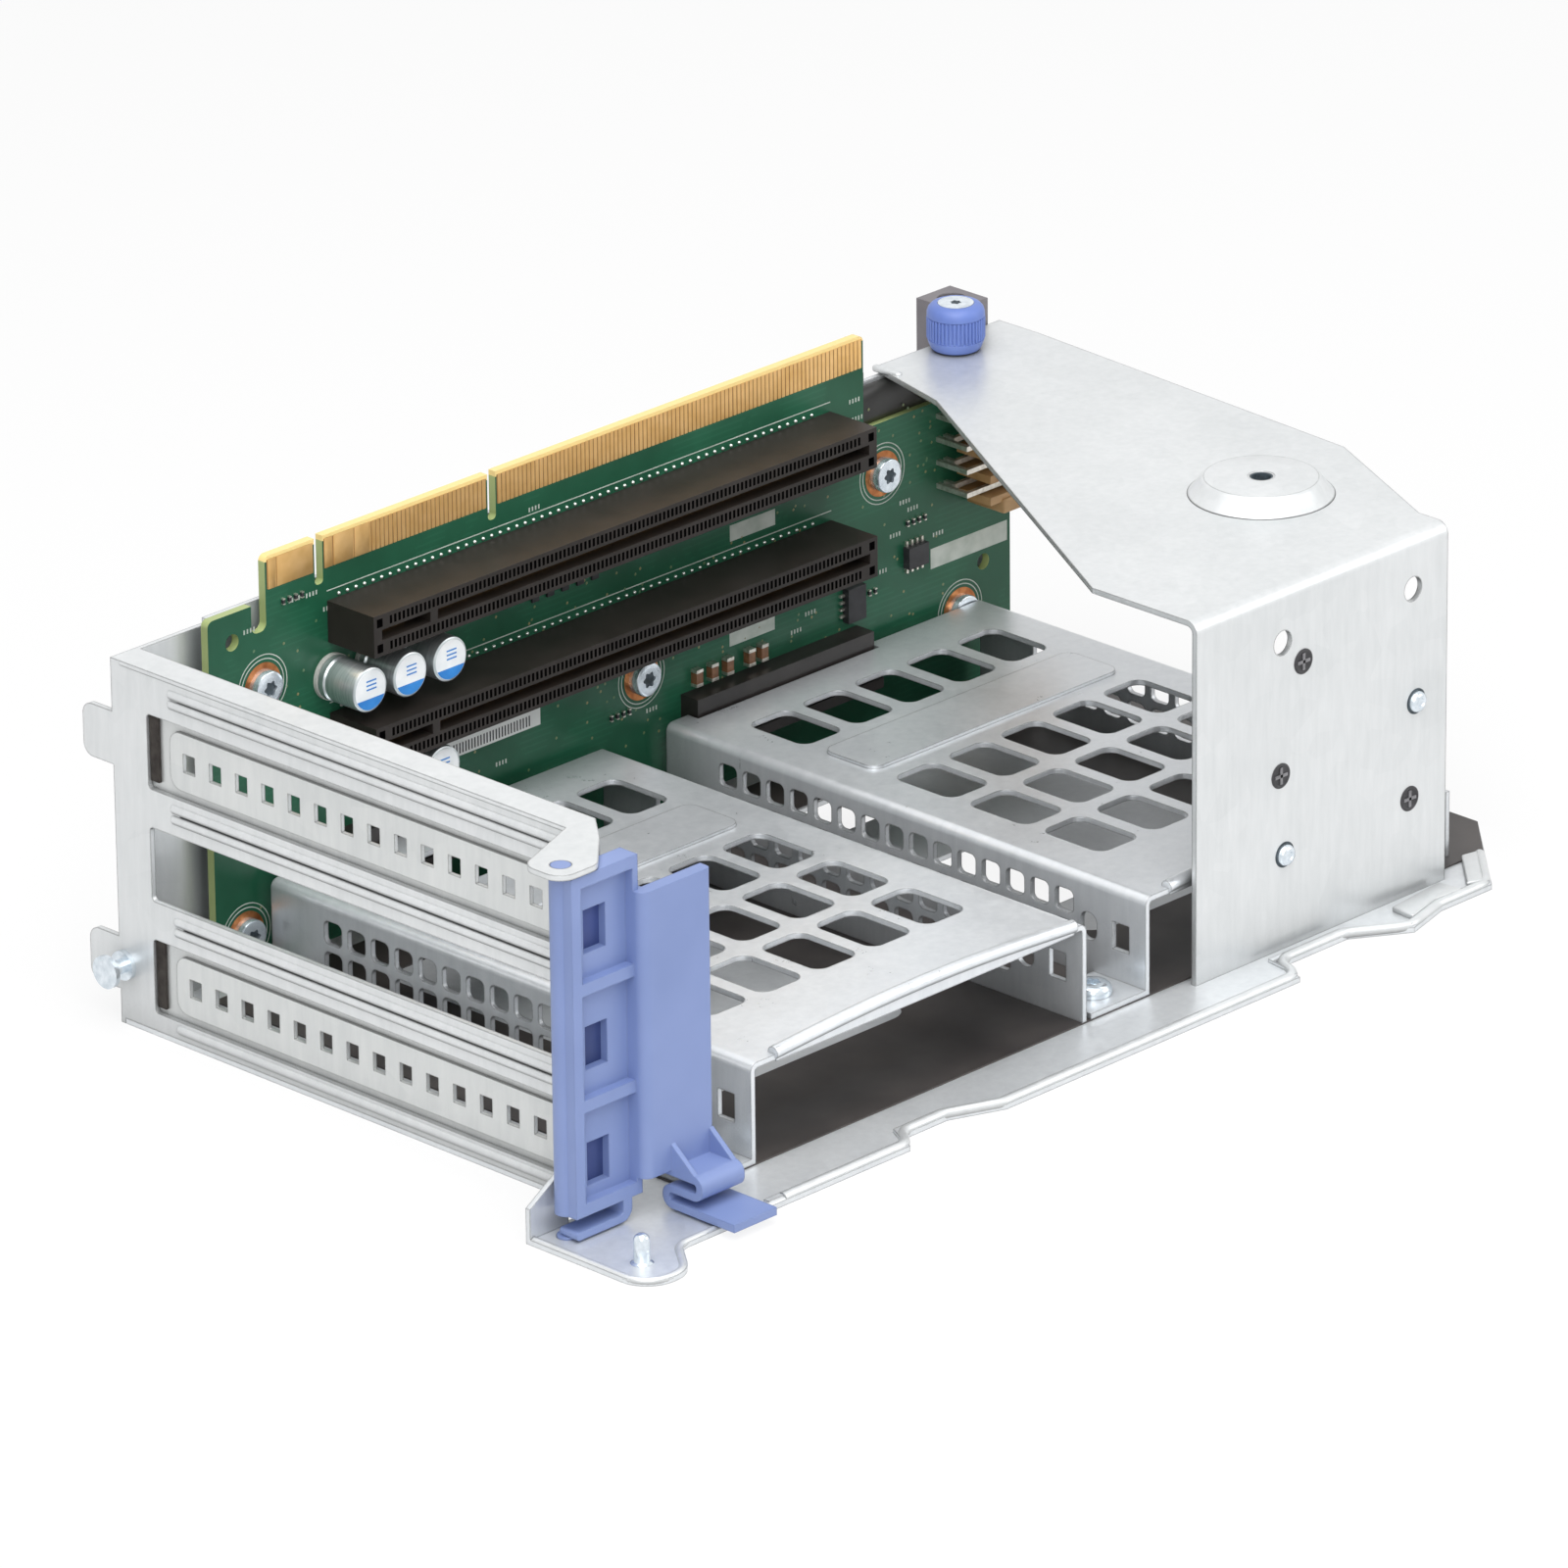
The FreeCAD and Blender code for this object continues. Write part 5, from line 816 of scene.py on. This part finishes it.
rounded_strip(
    "flange_hook", (181.9, -6.4, 66.1), (183.3, 0.0, 67.3), 0.45, sheet_steel, "cage",
)
# Painted shade: a dark rounded strip behind the board's step stands for the rear wall in deep shadow; light
# runs along its top.
wall_shadow_dark = moulded(
    "rear_wall_shadow_black", "#1F1F1E", "#2C2C2B", patch=5, roughness=0.4, grain=0.3, edge=0.1,
)
grow(
    "edge_guard", pressed_bead, [(174.0, -2.9, 61.9)], "cage", "seal_rubber",
    Reach=(19 * MM, 0, 0), Radius=3.6 * MM, Squeeze=(0.4, 0.5, 1.0), Finish=wall_shadow_dark,
)

# Thumbscrew
# A barrel shaped knob moulded in blue acetal round a steel screw, ribbed round its middle for grip.
# Acetal has a waxy, even colour, with soft highlights along each rib.
knob_blue = moulded("acetal_blue_moulded", "#5D73B6", "#6C83C6", patch=8, roughness=0.45, grain=0.2, edge=0.2)
knob_axis = next(joint["pos_m"] for joint in frame["joints"] if joint["name"] == "thumbscrew_turn")
knob_x = knob_axis[0] / MM
knob_y = knob_axis[1] / MM
knob_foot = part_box("thumbscrew_knob")[0][2] / MM
knob_at = [(knob_x, knob_y, knob_foot)]
barrel = turned([
    (4.2, 0.0), (4.5, 0.25), (4.95, 1.4), (5.1, 1.9), (4.88, 2.05), (4.88, 5.95), (5.15, 6.1), (5.13, 6.8),
    (4.9, 7.5), (4.4, 8.05), (3.7, 8.35), (3.25, 8.38), (3.2, 8.1),
], 56)
knob = copy_to("knob_barrel", barrel, knob_at, UPWARD, "thumbscrew", "knob_plastic", knob_blue)
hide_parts("thumbscrew_knob")
knurl, given = plan("grip_ribs", Count="Int", Radius="Float", Rib="Float", Length="Float")
round_line = add(knurl, "GeometryNodeMeshCircle", {"Vertices": given["Count"], "Radius": given["Radius"]})
ball = add(knurl, "GeometryNodeMeshUVSphere", {"Segments": 8, "Rings": 6, "Radius": given["Rib"]})
lift = add(knurl, "ShaderNodeCombineXYZ", {"Z": given["Length"]})
rib = drawn_out(knurl, ball.outputs["Mesh"], lift.outputs["Vector"])
ribs = add(knurl, "GeometryNodeInstanceOnPoints", {"Points": round_line.outputs["Mesh"], "Instance": rib})
grip = add(knurl, "GeometryNodeRealizeInstances", {"Geometry": ribs.outputs["Instances"]})
seat = add(knurl, "GeometryNodeInstanceOnPoints", {
    "Points": given["Geometry"], "Instance": grip.outputs["Geometry"],
})
close(knurl, given, seat.outputs["Instances"])
grow(
    "knob_ribs", knurl, [(knob_x, knob_y, knob_foot + 2.2)], "thumbscrew", "knob_plastic",
    Count=44, Radius=4.95 * MM, Rib=0.26 * MM, Length=3.6 * MM, Finish=knob_blue,
)
# Painted shade: the socket in the knob's top is a dark star, as its floor lies in shadow.
knob_star = turned([(0.9, 8.39, LOBE), (0.9, 8.4, LOBE)], 24)
copy_to("knob_socket", knob_star, knob_at, UPWARD, "thumbscrew", "screw_steel", socket_shade)

# Guide block
# Moulded grey nylon, screwed to the back of the wall, with a bore that a chassis post slides into.
# Grey nylon is matt, with broad rounded edges that catch a pale line of light.
guide_nylon = moulded(
    "nylon_grey_moulded", "#6E6A6E", "#7E7A7D", patch=10, roughness=0.5, grain=0.25, edge=0.4,
)
dress(guide_nylon, "guide_block")

# Retention latch
# Moulded in one piece of periwinkle acetal: ribbed frame, finger plate and a folded spring tab. It turns
# on two pins between the bracket's ear and the corner lobe.
# Acetal is waxy and even, and its moulded corners are round.
acetal = moulded(
    "acetal_periwinkle_moulded", "#7486B5", "#8293C2", patch=30, roughness=0.42, grain=0.25, edge=0.35,
)
dress(acetal, "retention_latch")
# The frame's windows are closed at the back by a thin web, deep enough to look a darker blue.
web_acetal = moulded(
    "acetal_periwinkle_shaded", "#36436F", "#44528A",
    patch=12, roughness=0.5, grain=0.25, edge=0.05, shine=0.3,
)
web = [(-8.4, -117.7), (-3.0, -117.7), (-3.0, -117.1), (-8.4, -117.1)]
slot_pitch = 20.32
lowest_web = 13.1
for number in range(3):
    level = lowest_web + slot_pitch * number
    plate(f"latch_web_{number}", web, level - 4.0, level + 4.0, 0.05, web_acetal, "latch")

# Corner pin and side stud
# Turned steel, zinc plated, riveted into the sheet.
pin_shape = turned([
    (1.0, 0.0), (1.02, 1.0), (1.95, 1.02), (1.35, 1.32), (1.35, 4.9), (1.28, 5.4), (1.05, 5.8), (0.65, 6.08),
    (0.2, 6.18),
], 32)
pin_at = [(-10.4, -133.6, 0)]
pin_piece = copy_to("corner_pin_turned", pin_shape, pin_at, UPWARD, "cage", "screw_steel", zinc)
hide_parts("corner_pin")
dress(zinc, "side_stud")

# Studio
# A pale floor and a white surround; lamps above and in front give the soft light of a product shot.


def seen(tree):
    """One for rays that look at a surface, straight or by a mirror or glass, and nothing for the rest."""
    rays = add(tree, "ShaderNodeLightPath")
    looking = add(tree, "ShaderNodeMath", {
        0: rays.outputs["Is Camera Ray"], 1: rays.outputs["Is Glossy Ray"],
    }, operation="MAXIMUM")
    through = add(tree, "ShaderNodeMath", {
        0: looking.outputs["Value"], 1: rays.outputs["Is Transmission Ray"],
    }, operation="MAXIMUM")
    return through.outputs["Value"]


floor_reach = 6
floor_corners = [(x * floor_reach, y * floor_reach, 0) for x, y in ((-1, -1), (1, -1), (1, 1), (-1, 1))]
floor_mesh = bpy.data.meshes.new("studio_floor")
floor_mesh.from_pydata(floor_corners, [], [(0, 1, 2, 3)])
floor = bpy.data.objects.new("studio_floor", floor_mesh)
bpy.context.scene.collection.objects.link(floor)
# White card, part of it glowing to the eye, so that it runs into the surround and keeps a soft shadow.
card = bpy.data.materials.new("studio_floor_white")
card.use_nodes = True
tree = card.node_tree
tree.nodes.clear()
share = add(tree, "ShaderNodeMath", {0: seen(tree), 1: 0.85}, operation="MULTIPLY")
matt = add(tree, "ShaderNodeBsdfDiffuse", {"Color": linear("#F4F4F4")})
glow = add(tree, "ShaderNodeEmission", {"Color": (1.0, 1.0, 1.0, 1.0), "Strength": 1.0})
both = add(tree, "ShaderNodeMixShader", {
    0: share.outputs["Value"], 1: matt.outputs["BSDF"], 2: glow.outputs["Emission"],
})
add(tree, "ShaderNodeOutputMaterial", {"Surface": both.outputs["Shader"]})
floor_mesh.materials.append(card)

world = bpy.data.worlds.new("studio_surround")
bpy.context.scene.world = world
world.use_nodes = True
tree = world.node_tree
tree.nodes.clear()
strength = add(tree, "ShaderNodeMapRange", {"Value": seen(tree), "To Min": 0.3, "To Max": 1.0})
sky = add(tree, "ShaderNodeBackground", {
    "Color": (1.0, 1.0, 1.0, 1.0), "Strength": strength.outputs["Result"],
})
add(tree, "ShaderNodeOutputWorld", {"Surface": sky.outputs["Background"]})
lamp_target = Vector((0.1, -0.07, 0.03))
for name, spot, size, power in (
    ("overhead_softbox", (-0.1, -0.3, 0.95), 0.9, 10.0),
    ("front_softbox", (-0.85, -0.95, 0.75), 0.8, 6.6),
    ("side_softbox", (0.9, -0.9, 0.6), 0.7, 2.8),
):
    lamp = bpy.data.lights.new(name, "AREA")
    lamp.size = size
    lamp.energy = power
    stand = bpy.data.objects.new(name, lamp)
    stand.location = spot
    aim = lamp_target - Vector(spot)
    stand.rotation_euler = aim.to_track_quat("-Z", "Y").to_euler()
    bpy.context.scene.collection.objects.link(stand)

# Camera
# A long lens from the front left, a little above the object, as in the photograph.
turn = -0.793267067
rise = 0.39372501
roll = -0.0109108864
eye = Vector((-1.32236, -1.45822, 0.85832))
back = Vector((math.sin(turn) * math.cos(rise), -math.cos(turn) * math.cos(rise), math.sin(rise)))
right = Vector((math.cos(turn), math.sin(turn), 0))
up = back.cross(right)
side = right * math.cos(roll) + up * math.sin(roll)
top = up * math.cos(roll) - right * math.sin(roll)
lens = bpy.data.cameras.new("camera")
lens.sensor_width = 36
lens.lens = 293.38
lens.clip_end = 50
camera = bpy.data.objects.new("camera", lens)
camera.matrix_world = Matrix((
    (side.x, top.x, back.x, eye.x),
    (side.y, top.y, back.y, eye.y),
    (side.z, top.z, back.z, eye.z),
    (0, 0, 0, 1),
))
bpy.context.scene.collection.objects.link(camera)
bpy.context.scene.camera = camera
bpy.context.scene.view_settings.view_transform = "Standard"
